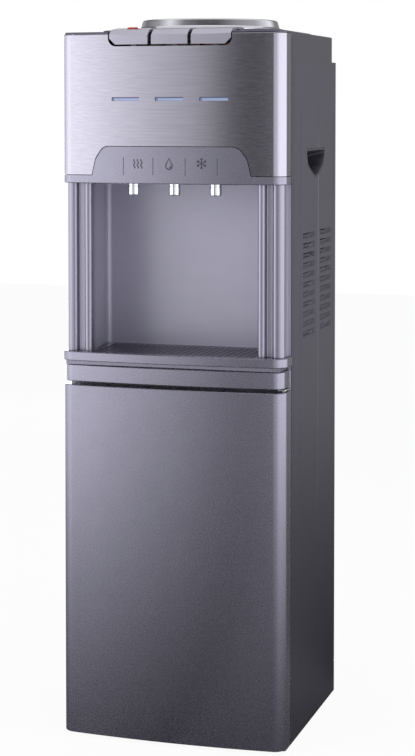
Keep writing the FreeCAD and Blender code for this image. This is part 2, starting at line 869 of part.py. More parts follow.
def front_panel():
    """Upper panel with a brushed face, cut out for the keys, the apron's tab and the windows."""
    panel = Piece("front_panel")
    wall = sizes.shell_wall
    low = sizes.apron_bottom
    depth = sizes.front_depth
    panel.add("XY_Plane", [bowed(0, depth)], "apron_bottom", "panel_top - apron_bottom")
    panel.soften("Fillet", 1.2, lambda edge: (
        edge.BoundBox.ZLength < 0.01
        and edge.BoundBox.ZMin > sizes.panel_top - 0.1
        and edge.BoundBox.YMin < depth - 1
    ))
    panel.cut("XY_Plane", [bowed(wall, depth + 1)], low - 1, "panel_top - apron_bottom + 2")
    under = outline([
        (-half - 10, low - 2), (half + 10, low - 2), (half + 10, sizes.seam_level + sizes.seam_gap / 2),
        (-half - 10, sizes.seam_level + sizes.seam_gap / 2),
    ])
    panel.cut("XZ_Plane", [under], -20, depth + 30)
    panel_tab = tab_points(sizes.seam_gap / 2)
    tab = outline(panel_tab, TAB_ROUNDS)
    panel.cut("XZ_Plane", [tab], -20, 30)
    side = sizes.key_half + sizes.notch_side
    floor = sizes.key_bottom - sizes.notch_gap
    notch = outline([(-side, floor), (side, floor), (side, sizes.panel_top + 9), (-side, sizes.panel_top + 9)], {0: 11, 1: 11})
    panel.cut("XZ_Plane", [notch], -20, 30)
    slots = [
        rectangle(
            x - sizes.window_length / 2, sizes.window_level - sizes.window_height / 2,
            x + sizes.window_length / 2, sizes.window_level + sizes.window_height / 2, 0.8,
        )
        for x in window_places
    ]
    panel.cut("XZ_Plane", slots, -20, 30)
    line = sizes.panel_top - sizes.edge_line
    band = bowed(-1, depth + 5)
    kept = bowed(0.5, depth + 1)
    panel.cut("XY_Plane", [band, kept], line, 0.8)
    return panel.done()


def tap_apron():
    """Moulding that carries the taps, with the raised tab for the pictograms."""
    apron = Piece("tap_apron")
    wall = sizes.shell_wall
    low = sizes.apron_bottom
    depth = sizes.front_depth
    gap = sizes.seam_gap / 2
    seam = sizes.seam_level - gap
    apron.add("XY_Plane", [bowed(0, depth)], "apron_bottom", "tab_top + 1 - apron_bottom")
    apron.soften("Fillet", 1.2, lambda edge: (
        edge.BoundBox.ZLength < 0.01
        and edge.BoundBox.ZMax < low + 0.1
        and edge.BoundBox.YMin < depth - 1
    ))
    apron.cut("XY_Plane", [bowed(wall, depth + 1)], low + wall, "tab_top - apron_bottom")
    tab = tab_points(-gap)
    ends = [(half + 9, seam), (half + 9, sizes.tab_top + 9), (-half - 9, sizes.tab_top + 9), (-half - 9, seam)]
    above = outline([(tab[0][0], seam)] + tab[1:-1] + [(tab[-1][0], seam)] + ends, TAB_ROUNDS)
    apron.cut("XZ_Plane", [above], -20, 29)
    behind = rectangle(-half - 9, seam, half + 9, sizes.tab_top + 9)
    apron.cut("XZ_Plane", [behind], 8.9, depth)
    holes = [circle(x, sizes.tap_forward, sizes.nozzle_radius - 1.9) for x in tap_places.values()]
    apron.cut("XY_Plane", holes, low - 1, wall + 2)
    return apron.done()


def indicator_windows():
    """Light bars behind the three slots, their faces a little behind the panel's."""
    bars = Piece("indicator_windows")
    clear = sizes.fit_gap / 3
    length = sizes.window_length / 2 - clear
    height = sizes.window_height / 2 - clear
    faces = [
        rectangle(x - length, sizes.window_level - height, x + length, sizes.window_level + height, 0.6)
        for x in window_places
    ]
    bars.add("XZ_Plane", faces, -10, "10 + fit_gap")
    ahead = bowed(-5, cabinet_front + 1)
    kept = bowed(0.5, cabinet_front)
    bars.cut("XY_Plane", [ahead, kept], "window_level - window_height", "2 * window_height")
    return bars.done()


def indicator_board():
    board = Piece("indicator_board")
    post = 3
    reach = window_places[2] + sizes.window_length / 2 + 3 * post
    level = sizes.window_level
    board.add("XZ_Plane", [rectangle(-reach, level - 9, reach, level + 9)], "2 * fit_gap", 1.6)
    lamps = [rectangle(x - 4, level + 5, x + 4, level + 8) for x in window_places]
    board.add("XZ_Plane", lamps, 2 * sizes.fit_gap + 1.6, 2)
    arm = bowed_y(reach, sizes.shell_wall)
    posts = [circle(side * (reach - post - 0.5), level, post) for side in (-1, 1)]
    board.add("XZ_Plane", posts, arm + 0.2, 2 * sizes.fit_gap - arm - 0.2)
    return board.done()


# ---------------------------------------------------------------- alcove, tray and grille

def alcove_liner():
    """One moulding: two ribbed pillars, side walls, back wall, ceiling, and the bay below for the tray."""
    liner = Piece("alcove_liner")
    back = sizes.alcove_depth
    wall = sizes.alcove_wall
    front = sizes.pillar_front
    mouth = sizes.alcove_mouth
    waist = sizes.alcove_waist
    outer = sizes.pillar_outer
    right = [
        (waist, back),
        (mouth, front + 7),
        (mouth + 1.5, front),
        (mouth + 10.5, front),
        (mouth + 12, front + 8),
        (mouth + 20, front + 8),
        (mouth + 22.5, front),
        (outer, front),
        (outer, cabinet_front),
        (waist + 5, cabinet_front),
        (waist + 5, back + wall),
    ]
    corners = {0: sizes.alcove_corner, 1: 3, 2: 5.2, 3: 5.2, 4: 2, 5: 2, 6: 5, 7: 8}
    points = right + [(-x, y) for x, y in reversed(right)]
    last = len(points) - 1
    radii = dict(corners)
    radii.update({last - number: radius for number, radius in corners.items()})
    low = sizes.tray_top + sizes.fit_gap
    high = sizes.apron_bottom - sizes.fit_gap
    liner.add("XY_Plane", [outline(points, radii)], low, high - low)
    for side in (-1, 1):
        near, far = sorted((side * (outer - wall), side * inner))
        flange = rectangle(near, sizes.front_depth, far, cabinet_front)
        liner.add("XY_Plane", [flange], low, high - low)
    bay = low - tray_floor + wall + sizes.fit_gap
    floor_bottom = tray_floor - sizes.fit_gap - wall
    liner.add("XY_Plane", [rectangle(-inner, cabinet_front, inner, back + wall)], floor_bottom, bay + 6)
    clear = sizes.fit_gap
    tray_room = rectangle(-sizes.tray_half - clear, 0, sizes.tray_half + clear, back)
    liner.cut("XY_Plane", [tray_room], tray_floor - clear, sizes.tray_top + clear - tray_floor + clear)
    upper = outline(points[0:1] + points[1:2] + [(mouth, 0), (-mouth, 0)] + points[-2:-1] + points[-1:], {
        0: sizes.alcove_corner, 5: sizes.alcove_corner,
    })
    liner.cut("XY_Plane", [upper], sizes.tray_top - 1, "apron_bottom - tray_top")
    ceiling = rectangle(-waist - 4, sizes.front_depth + sizes.fit_gap, waist + 4, back + wall)
    liner.add("XY_Plane", [ceiling], high - wall, wall)
    return liner.done()


def tray_outline(wide, front, end, front_radius, rear_radius):
    """Plan of the grille and what holds it; the rear corners turn inside the alcove's."""
    corners = [(-wide, front), (wide, front), (wide, end), (-wide, end)]
    return outline(corners, {0: front_radius, 1: front_radius, 2: rear_radius, 3: rear_radius})


def drip_tray():
    """Pull-out tray with the full-width front lip; its wings pass below the pillars."""
    tray = Piece("drip_tray")
    depth = sizes.alcove_depth
    wall = sizes.tray_wall
    wide = sizes.tray_half
    basin = sizes.grille_half - 2
    floor = tray_floor
    end = depth - sizes.fit_gap
    proud = sizes.lip_proud
    tray.add("XY_Plane", [bowed(-proud, sizes.front_depth)], "lip_bottom", "tray_top - lip_bottom")
    tray.soften("Fillet", 1.2, lambda edge: edge.BoundBox.ZLength < 0.01 and edge.BoundBox.YMin < sizes.front_depth - 1)
    tray.add("XY_Plane", [rectangle(-wide, 2, wide, end)], tray_floor, sizes.tray_top - tray_floor)
    top = sizes.tray_top
    sunk = sizes.grille_thickness + 0.8
    turn = sizes.alcove_corner - 4
    tray.cut("XY_Plane", [tray_outline(basin, 6, end - 6, 8, turn - 2.2)], floor + wall, "tray_top")
    recess = sizes.grille_half + sizes.fit_gap
    tray.cut("XY_Plane", [tray_outline(recess, 3.5, end - 3.5, 4, turn + sizes.fit_gap)], top - sunk, 9)
    pockets = []
    for side in (-1, 1):
        near, far = side * (sizes.grille_half + wall + 1), side * (wide - wall)
        pockets.append(rectangle(min(near, far), 6, max(near, far), end - 3))
    tray.cut("XY_Plane", pockets, floor - 1, top - floor - wall)
    pitch = sizes.hole_pitch
    rows = int((end - 14) / pitch)
    holes = []
    for side in (-1, 1):
        for column in range(3):
            for row in range(rows):
                x = sizes.grille_half + 7 + column * pitch
                holes.append(circle(side * x, 9 + row * pitch, sizes.hole_radius))
    tray.cut("XY_Plane", holes, top - 4, 9)
    return tray.done()


def drip_grille():
    """Perforated plate that drops into the tray's rim."""
    grille = Piece("drip_grille")
    end = sizes.alcove_depth - sizes.fit_gap
    wide = sizes.grille_half
    low = sizes.tray_top - sizes.grille_thickness - 0.5
    plan = tray_outline(wide, 3.5 + sizes.fit_gap, end - 3.5 - sizes.fit_gap, 3.7, sizes.alcove_corner - 4)
    grille.add("XY_Plane", [plan], low, "grille_thickness")
    pitch = sizes.hole_pitch
    rows = int((end - 14) / pitch)
    columns = int((wide - 4) / pitch)
    holes = [
        circle(column * pitch, 9 + row * pitch, sizes.hole_radius)
        for column in range(-columns, columns + 1)
        for row in range(rows)
    ]
    grille.cut("XY_Plane", holes, low - 1, "grille_thickness + 2")
    return grille.done()


# ---------------------------------------------------------------- push keys and taps

def key_span(name):
    """Left and right edge of a key."""
    third = sizes.tap_spacing / 2 - 1
    edge = sizes.key_slot / 2
    spans = {
        "hot": (-sizes.key_half, -third - edge),
        "normal": (-third + edge, third - edge),
        "cold": (third + edge, sizes.key_half),
    }
    return spans[name]


def push_key(name):
    """A rocking key: front face, sloped brow and flat top, with a pusher and a hub on the axle."""
    key = Piece("key_" + name)
    left, right = key_span(name)
    top = sizes.key_top
    brow = sizes.key_brow
    low = sizes.key_bottom
    back = sizes.key_back
    skin = 3
    axle = sizes.axle_back
    hub = axle - back
    hook = outline(
        [
            (-12, low),
            (-12, brow),
            (-6.5, brow),
            (3, top - 3),
            (30, top),
            (back, top),
            (back, sizes.axle_level + hub),
            (axle + hub, sizes.axle_level + hub),
            (axle + hub, top - skin - 1),
            (28, top - skin),
            (5, top - skin - 4),
            (-2.4, brow - 2),
            (-2.4, low),
        ],
        {2: 1, 3: 4, 6: 4, 7: 4},
    )
    key.add("YZ_Plane", [hook], left, right - left)
    pusher = tap_places[name]
    room = sizes.fit_gap
    key.add("XY_Plane", [rectangle(pusher - 4, sizes.tap_forward - 3, pusher + 4, sizes.tap_forward + 3)],
            sizes.plunger_top + room, top - skin - sizes.plunger_top)
    ahead = [bowed(-14, back + 9), bowed(0.2, back + 8)]
    key.cut("XY_Plane", ahead, low - 1, top - low + 5)
    bore = circle(axle, sizes.axle_level, sizes.axle_radius + sizes.bearing_gap)
    key.cut("YZ_Plane", [bore], left - 1, right - left + 2)
    ears = [
        (place - 1.6, place + 1.6)
        for place in (-sizes.key_half + 3.5, sizes.key_half - 3.5)
        if left < place < right
    ]
    for start, end in ears:
        key.cut("YZ_Plane", [rectangle(axle + hub - 2, low, back + 2, top - skin - 0.6)], start, end - start)
    radius = 8
    if name == "hot":
        corner = [(left - 1, low - 1), (left + radius, low - 1), (left + radius, low), (left, low + radius), (left - 1, low + radius)]
    else:
        corner = [(right + 1, low - 1), (right + 1, low + radius), (right, low + radius), (right - radius, low), (right - radius, low - 1)]
    if name != "normal":
        key.cut("XZ_Plane", [outline(corner)], -20, 24)
    if name == "hot":
        key.cut("XY_Plane", [lock_outline(0, 9 + 2 * sizes.fit_gap)], lock_floor, 9)
    return key.done()


lock_floor = sizes.key_top - sizes.lock_drop


def lock_outline(start, depth):
    """Plan of the lock slider's slot in the hot key."""
    clear = sizes.fit_gap
    front = 9 - clear
    right = -sizes.lock_aside + sizes.lock_length + sizes.lock_travel + clear
    return rectangle(-sizes.lock_aside - clear + start, front, right, front + depth)


def hot_lock():
    """The child lock: a ribbed slider in a slot of the hot key's top."""
    lock = Piece("hot_lock")
    front = 9
    left = -sizes.lock_aside
    right = left + sizes.lock_length
    lift = lock_floor + sizes.fit_gap / 3
    lock.add("XY_Plane", [rectangle(left, front, right, front + 9, 1.5)], lift, 4.3)
    ribs = [rectangle(left + 2 + 3 * number, front + 1.5, left + 3.4 + 3 * number, front + 7.5) for number in range(4)]
    lock.add("XY_Plane", ribs, lift + 4.2, 0.7)
    return lock.done()


def key_bracket():
    """Shelf across the front panel's sides, with the ears that hold the axle and guides for the plungers."""
    bracket = Piece("key_bracket")
    side = half - sizes.shell_wall
    level = sizes.key_bottom - 22
    axle = sizes.axle_back
    bracket.add("XY_Plane", [rectangle(-side, 18, side, sizes.front_depth - 2)], level, "shell_wall")
    end_place = sizes.key_half - 3.5
    bracket.add("XY_Plane", [rectangle(-end_place - 6, 8, end_place + 6, axle + 7)], level, "shell_wall")
    slot = sizes.tap_spacing / 2 - 1
    tall = sizes.axle_level + 5
    ear = outline([(axle - 9, level), (axle + 7, level), (axle + 5, tall), (axle - 5, tall)], {2: 4, 3: 4})
    for place in (-end_place, -slot, slot, end_place):
        bracket.add("YZ_Plane", [ear], place - 1, 2)
    bore = circle(axle, sizes.axle_level, sizes.axle_radius + sizes.bearing_gap)
    bracket.cut("YZ_Plane", [bore], -end_place - 5, 2 * end_place + 10)
    guides = [circle(x, sizes.tap_forward, sizes.plunger_radius + sizes.bearing_gap) for x in tap_places.values()]
    bracket.cut("XY_Plane", guides, level - 1, 9)
    return bracket.done()


def key_axle():
    axle = Piece("key_axle")
    reach = sizes.key_half - 1
    axle.add("YZ_Plane", [circle(sizes.axle_back, sizes.axle_level, sizes.axle_radius)], -reach, 2 * reach)
    return axle.done()


def tap_nozzles():
    """Three chrome spouts, screwed up through the apron."""
    nozzles = Piece("tap_nozzles")
    low = sizes.apron_bottom - sizes.nozzle_drop
    neck = sizes.nozzle_radius - 2
    forward = sizes.tap_forward
    places = tap_places.values()
    nozzles.add("XY_Plane", [circle(x, forward, sizes.nozzle_radius) for x in places], low, "nozzle_drop")
    nozzles.soften("Fillet", 1.6, lambda edge: edge.BoundBox.ZMax < low + 0.1 and len(edge.Vertexes) == 1)
    nozzles.add("XY_Plane", [circle(x, forward, neck) for x in places], "apron_bottom", "shell_wall + 5")
    nozzles.cut("XY_Plane", [circle(x, forward, sizes.nozzle_bore) for x in places], low - 1, "nozzle_drop + shell_wall + 9")
    return nozzles.done()


def tap_bodies():
    """Moulded valve bodies above the nozzles, each with a spigot for its hose."""
    taps = Piece("tap_bodies")
    low = sizes.apron_bottom + sizes.shell_wall
    forward = sizes.tap_forward
    places = tap_places.values()
    neck = sizes.nozzle_radius - 2
    spigot_end = forward + sizes.tap_radius + 14
    taps.add("XY_Plane", [circle(x, forward, sizes.tap_radius) for x in places], low, sizes.tap_top - low)
    taps.add("XZ_Plane", [circle(x, sizes.outlet_level, 5) for x in places], forward + 8, spigot_end - forward - 8)
    taps.cut("XY_Plane", [circle(x, forward, neck + 0.05) for x in places], low - 1, 6.1)
    taps.cut("XY_Plane", [circle(x, forward, 9) for x in places], low + 5, sizes.tap_top - low - 15)
    taps.cut("XY_Plane", [circle(x, forward, sizes.plunger_radius + sizes.bearing_gap) for x in places], sizes.tap_top - 12, 20)
    taps.cut("XZ_Plane", [circle(x, sizes.outlet_level, 3) for x in places], forward, spigot_end)
    return taps.done()


plunger_collar = sizes.tap_top + sizes.spring_length + 2 * sizes.fit_gap


def plunger(name):
    """Valve rod from the seal in the tap up to the key, with the flange that its spring lifts."""
    rod = Piece("plunger_" + name)
    valve = sizes.tap_top - 30
    radius = sizes.plunger_radius
    collar = plunger_collar
    rod.turn(
        [
            (0, valve), (7, valve), (7, valve + 4), (radius, valve + 6),
            (radius, collar), (8, collar), (8, collar + 2), (radius, collar + 2),
            (radius, sizes.plunger_top), (0, sizes.plunger_top),
        ],
        {2: 1, 8: 1},
    )
    return rod.done(tap_places[name], sizes.tap_forward)


def key_spring(name):
    """Return spring under the plunger's flange."""
    wire = sizes.spring_wire / 2
    end_gap = sizes.fit_gap + wire + 0.1
    pitch = (plunger_collar - sizes.tap_top - 2 * end_gap) / sizes.spring_turns
    foot = Vector(tap_places[name], sizes.tap_forward, sizes.tap_top + end_gap)
    path = wound_path(sizes.spring_radius, pitch, sizes.spring_turns, sizes.spring_wire, foot)
    coil = piped(path, wire)
    print_least_gap("spring_" + name, path, wire)
    return finish("spring_" + name, shaped("spring_" + name, coil))


# ---------------------------------------------------------------- top cover and bottle seat

def plateau_outline(inset):
    """Plan of the raised middle behind the keys, set in by the inset."""
    side = sizes.plateau_half - inset
    front = sizes.key_back + sizes.notch_behind + sizes.seat_ahead + inset
    end = sizes.seat_back + sizes.seat_radius - inset
    return rectangle(-side, front, side, end, 26 - inset)


def top_cover():
    """Cover with a skirt set in from the side panels, a raised plateau and a notch for the keys."""
    cover = Piece("top_cover")
    side = half - sizes.skirt_inset
    end = rear - sizes.skirt_inset
    wall = sizes.cover_wall
    plate = sizes.cover_top - wall
    foot = sizes.side_top + sizes.fit_gap
    start = cabinet_front - 0.5
    front = sizes.front_depth + 0.4
    skirt = outline([(front, plate + 1), (front, plate - 5), (sizes.facet_foot, foot), (end, foot), (end, plate + 1)])
    cover.add("YZ_Plane", [skirt], -side, 2 * side)
    cover.add("XY_Plane", [bowed(1.2, end)], plate, "cover_wall")
    cover.cut("XY_Plane", [outline([(side, front), (half, front), (half, end + 1), (side, end + 1)])], plate - 1, 9)
    cover.cut("XY_Plane", [outline([(-half, front), (-side, front), (-side, end + 1), (-half, end + 1)])], plate - 1, 9)
    cover.soften("Fillet", 7, lambda edge: (
        edge.BoundBox.ZLength > 20 and edge.BoundBox.YMin > end - 1
    ))
    cover.soften("Fillet", 2, lambda edge: (
        edge.BoundBox.ZMin > sizes.cover_top - 0.1 and edge.BoundBox.ZLength < 0.1
    ))
    hollow = rectangle(-side + wall, front + 3.5, side - wall, end - wall, 5)
    cover.cut("XY_Plane", [hollow], foot - 1, plate - foot + 1)
    back = sizes.seat_back
    plateau = plateau_outline(0)
    cover.add("XY_Plane", [plateau], "cover_top", "plateau_top - cover_top")
    cover.soften("Fillet", 3, lambda edge: (
        edge.BoundBox.ZMin > sizes.plateau_top - 0.1 and edge.BoundBox.ZLength < 0.1
    ))
    cover.cut("XY_Plane", [plateau_outline(wall)], plate - 1, "plateau_rise + 1")
    cover.cut("XY_Plane", [circle(0, back, sizes.seat_bore + 3)], plate - 1, 19)
    notch = sizes.key_half + sizes.notch_side
    notch_end = sizes.key_back + sizes.notch_behind
    cover.cut("XY_Plane", [rectangle(-notch, -20, notch, notch_end)], foot - 1, 59)
    return cover.done()


def seat_collar():
    """Polished collar, flared outwards to its foot, with a rolled lip."""
    collar = Piece("seat_collar")
    base = sizes.plateau_top
    foot = sizes.collar_base
    rim = sizes.collar_rim
    top = sizes.collar_top
    wall = sizes.collar_wall
    collar.turn(
        [
            (sizes.seat_bore + 1.5, base),
            (foot + 5, base),
            (foot + 5, base + 3.5),
            (foot, base + 4.5),
            (rim, top),
            (rim - wall, top),
            (foot - wall - 2, base + 3.5),
            (sizes.seat_bore + 1.5, base + 3.5),
        ],
        {2: 1.4, 3: 1.5, 4: 1.7, 5: 1.7},
    )
    return collar.done(0.0, "seat_back")


def bottle_seat():
    """Funnel that takes the bottle's neck; it lifts off for cleaning."""
    seat = Piece("bottle_seat")
    bore = sizes.seat_bore
    rim = sizes.plateau_top + 3.5 + sizes.fit_gap
    floor = sizes.seat_floor
    skin = 2
    edge = sizes.collar_base - sizes.collar_wall - 4
    seat.turn(
        [
            (sizes.probe_radius + 1.1, floor),
            (bore - 18, floor),
            (bore - skin, floor + 6),
            (bore - skin, rim + skin),
            (edge, rim + skin),
            (edge, rim),
            (bore, rim),
            (bore, floor + 4.8),
            (bore - 8, floor - skin),
            (sizes.cold_radius + 1, floor - skin),
            (sizes.cold_radius + 1, sizes.cold_top + 3.6),
            (sizes.cold_radius - 5, sizes.cold_top + 3.6),
            (sizes.cold_radius - 5, floor - skin),
            (sizes.probe_radius + 1.1, floor - skin),
        ],
        {2: 4, 3: 1.5, 4: 0.8},
    )
    return seat.done(0.0, "seat_back")


def bottle_probe():
    """Hollow spike that opens the bottle's cap, with windows for the water."""
    probe = Piece("bottle_probe")
    radius = sizes.probe_radius
    floor = sizes.seat_floor
    top = sizes.probe_top
    probe.turn(
        [
            (radius - 3, sizes.cold_top - 30),
            (radius, sizes.cold_top - 30),
            (radius, floor + 0.1),
            (radius + 10, floor + 0.1),
            (radius + 10, floor + 2.6),
            (radius, floor + 3.6),
            (radius, top - 12),
            (3, top),
            (0, top),
            (0, top - 4),
            (radius - 3, top - 14),
        ],
        {7: 2},
    )
    windows = rectangle(-3.5, floor + 8, 3.5, top - 18, 2)
    probe.cut("XZ_Plane", [windows], -radius - 3, 2 * radius + 6)
    probe.cut("YZ_Plane", [windows], -radius - 3, 2 * radius + 6)
    return probe.done(0.0, "seat_back")


def seat_gasket():
    gasket = Piece("seat_gasket")
    radius = sizes.cold_radius
    low = sizes.cold_top
    gasket.turn([(radius - 5, low), (radius + 1, low), (radius + 1, low + 3.3), (radius - 5, low + 3.3)], {2: 1, 3: 1})
    return gasket.done(0.0, "seat_back")


# ---------------------------------------------------------------- tanks

def cold_tank():
    """Open stainless tank with a rolled rim and two outlet stubs towards the taps."""
    tank = Piece("cold_tank")
    radius = sizes.cold_radius
    low = sizes.cold_bottom
    top = sizes.cold_top
    skin = sizes.sheet
    tank.turn(
        [
            (0, low), (radius, low), (radius, top - skin), (radius + 5, top - skin), (radius + 5, top),
            (radius - skin, top), (radius - skin, low + skin), (0, low + skin),
        ],
        {1: 8, 6: 7},
    )
    centre = sizes.seat_back
    level = sizes.outlet_level
    end = hose_meeting()
    for name in ("normal", "cold"):
        x = tap_places[name]
        wall = centre - math.sqrt(radius ** 2 - x ** 2)
        start = end - centre
        tank.add("XZ_Plane", [circle(x, level, 5)], start, wall + 6 - end)
        tank.cut("XZ_Plane", [circle(x, level, 3.6)], start - 1, wall + 16 - end)
    return tank.done(0.0, "seat_back")


def hose_meeting():
    """Depth at which a hose's straight end meets a stub."""
    return sizes.tap_forward + sizes.tap_radius + 24


def cold_insulation():
    """Foam jacket round the tank and its coil, standing on the shelf."""
    foam = Piece("cold_insulation")
    low = sizes.foam_bottom
    room = sizes.cold_radius + 2 * sizes.evaporator_tube + 2
    tank_low = sizes.cold_bottom
    top = sizes.cold_top - sizes.sheet - sizes.fit_gap
    foam.turn([
        (0, low), (sizes.foam_radius, low), (sizes.foam_radius, top), (room, top),
        (room, tank_low + 22), (sizes.cold_radius + 0.4, tank_low + 22),
        (sizes.cold_radius + 0.4, tank_low - sizes.fit_gap), (0, tank_low - sizes.fit_gap),
    ])
    stubs = [circle(tap_places[name], sizes.outlet_level, 5.4) for name in ("normal", "cold")]
    foam.cut("XZ_Plane", stubs, -sizes.foam_radius - 5, sizes.foam_radius)
    feed_x, feed_y = feed_place()
    foam.cut("XY_Plane", [circle(feed_x, feed_y - sizes.seat_back, 5.4)], low - 1, tank_low - low + 2)
    return foam.done(0.0, "seat_back")


def evaporator_coil():
    """Copper tube wound round the cold tank."""
    tube = sizes.evaporator_tube
    radius = sizes.cold_radius + tube + 0.5
    foot = Vector(0, sizes.seat_back, sizes.cold_bottom + 34)
    path = wound_path(radius, sizes.evaporator_pitch, sizes.evaporator_turns, 0.5, foot)
    coil = piped(path, tube)
    print_least_gap("evaporator_coil", path, tube)
    return finish("evaporator_coil", shaped("evaporator_coil", coil))


def baffle():
    """Plate on three legs that keeps the warm water above the cold."""
    plate = Piece("baffle")
    low = sizes.cold_bottom + sizes.sheet + 0.1
    level = sizes.cold_bottom + 62
    disc = circle(0, sizes.seat_back, sizes.cold_radius - sizes.sheet - 1)
    plate.add("XY_Plane", [disc, circle(0, sizes.seat_back, 7)], level, 2)
    legs = [
        circle(0.6 * sizes.cold_radius * math.cos(turn), sizes.seat_back + 0.6 * sizes.cold_radius * math.sin(turn), 2.5)
        for turn in (math.pi / 2, math.pi * 7 / 6, math.pi * 11 / 6)
    ]
    plate.add("XY_Plane", legs, low, level - low)
    return plate.done()


def feed_place():
    """Where the feed pipe drops from the cold tank to the hot tank."""
    return -0.45 * sizes.hot_aside, 0.92 * sizes.hot_back


def hot_tank():
    """Closed stainless tank on three legs, with a feed, an outlet and a drain stub."""
    tank = Piece("hot_tank")
    radius = sizes.hot_radius
    low = sizes.hot_bottom
    top = sizes.hot_top
    skin = sizes.sheet
    aside = -sizes.hot_aside
    back = sizes.hot_back
    tank.turn(
        [(0, low), (radius, low), (radius, top), (0, top), (0, top - skin), (radius - skin, top - skin),
         (radius - skin, low + skin), (0, low + skin)],
        {1: 9, 2: 9, 5: 8, 6: 8},
    )
    legs = [
        circle(0.66 * radius * math.cos(turn), 0.66 * radius * math.sin(turn), 4)
        for turn in (math.pi / 2, math.pi * 7 / 6, math.pi * 11 / 6)
    ]
    deck = sizes.deck_level + sizes.liner_wall
    tank.add("XY_Plane", legs, deck, low - deck + skin / 2)
    feed_x, feed_y = feed_place()
    outlet_x, outlet_y = hot_outlet()
    stubs = [circle(feed_x - aside, feed_y - back, 4.5), circle(outlet_x - aside, outlet_y - back, 4.5)]
    bores = [circle(feed_x - aside, feed_y - back, 3), circle(outlet_x - aside, outlet_y - back, 3)]
    tank.add("XY_Plane", stubs, top - skin / 2, 10)
    tank.cut("XY_Plane", bores, top - 3, 20)
    tank.add("XY_Plane", [circle(0, 0, 4.5)], low - 8, 8 + skin / 2)
    tank.cut("XY_Plane", [circle(0, 0, 3)], low - 9, 12)
    return tank.done("-hot_aside", "hot_back")


def hot_outlet():
    """Where hot water leaves the top of its tank."""
    return -sizes.hot_aside - 0.45 * sizes.hot_radius, sizes.hot_back - 0.1 * sizes.hot_radius


def band_heater():
    """Mica band clamped round the hot tank, with its clamp lug."""
    band = Piece("band_heater")
    radius = sizes.hot_radius + 0.3
    low = sizes.hot_bottom + 22
    band.turn([(radius, low), (radius + 3, low), (radius + 3, low + 32), (radius, low + 32)])
    return band.done("-hot_aside", "hot_back")


def hot_insulation():
    """Foam jacket round the hot tank."""
    foam = Piece("hot_insulation")
    inside = sizes.hot_radius + 3.6
    foam.turn([
        (inside, sizes.hot_bottom + 6), (inside + 9, sizes.hot_bottom + 6),
        (inside + 9, sizes.hot_top - 4), (inside, sizes.hot_top - 4),
    ])
    return foam.done("-hot_aside", "hot_back")


def water_hoses():
    """Silicone hoses: tanks to taps, cold tank to hot tank, and the drain."""
    radius = 6.5
    level = sizes.outlet_level
    spigot = sizes.tap_forward + sizes.tap_radius + 14 + 0.2
    meeting = hose_meeting() - 0.2
    hoses = []
    for name in ("normal", "cold"):
        x = tap_places[name]
        hoses.append(Part.makeCylinder(radius, meeting - spigot, Vector(x, spigot, level), Vector(0, 1, 0)))
    feed_x, feed_y = feed_place()
    feed_low = sizes.hot_top + 10
    hoses.append(Part.makeCylinder(5, sizes.cold_bottom - feed_low - 0.2, Vector(feed_x, feed_y, feed_low)))
    outlet_x, outlet_y = hot_outlet()
    aside = hose_aside
    hot_route = [
        (tap_places["hot"], spigot, level),
        (tap_places["hot"], spigot + 16, level),
        (aside, spigot + 36, level),
        (aside, outlet_y - 52, level - 10),
        (aside + 4, outlet_y - 40, level - 52),
        (outlet_x - 6, outlet_y - 8, sizes.hot_top + 46),
        (outlet_x, outlet_y, sizes.hot_top + 28),
        (outlet_x, outlet_y, sizes.hot_top + 10.2),
    ]
    hoses.append(piped(bent_path(hot_route, 8), 5))
    drain_route = [
        (-sizes.hot_aside, sizes.hot_back, sizes.hot_bottom - 8.2),
        (-sizes.hot_aside, sizes.hot_back, sizes.spout_level),
        (-sizes.spout_aside, rear - 50, sizes.spout_level),
        (-sizes.spout_aside, rear - 12.2, sizes.spout_level),
    ]
    hoses.append(piped(bent_path(drain_route, 9), 5))
    return finish("water_hoses", shaped("water_hoses", Part.makeCompound(hoses)))


# ---------------------------------------------------------------- cupboard and shelves

def cabinet_liner():
    """Moulded cupboard with a hump over the compressor and a flange for the door's gasket."""
    liner = Piece("cabinet_liner")
    wide = sizes.liner_half
    wall = sizes.liner_wall
    low = sizes.liner_bottom
    top = sizes.liner_top
    back = sizes.liner_back

    def stepped(inset, mouth):
        return outline(
            [
                (mouth, low + inset),
                (sizes.hump_front - inset, low + inset),
                (sizes.hump_front - inset, sizes.hump_top + inset),
                (back - inset, sizes.hump_top + inset),
                (back - inset, top - inset),
                (mouth, top - inset),
            ],
            {1: 10 - inset, 2: 10 + inset, 3: 10 - inset, 4: 10 - inset},
        )

    liner.add("YZ_Plane", [stepped(0, cabinet_front)], "-liner_half", "2 * liner_half")
    flange_low = sizes.pan_height + sizes.fit_gap
    flange_high = tray_floor - sizes.fit_gap - sizes.alcove_wall
    liner.add("XZ_Plane", [rectangle(-inner, flange_low, inner, flange_high)], cabinet_front, "flange_gap")
    liner.cut("YZ_Plane", [stepped(wall, cabinet_front - 1)], -wide + wall, 2 * (wide - wall))
    return liner.done()


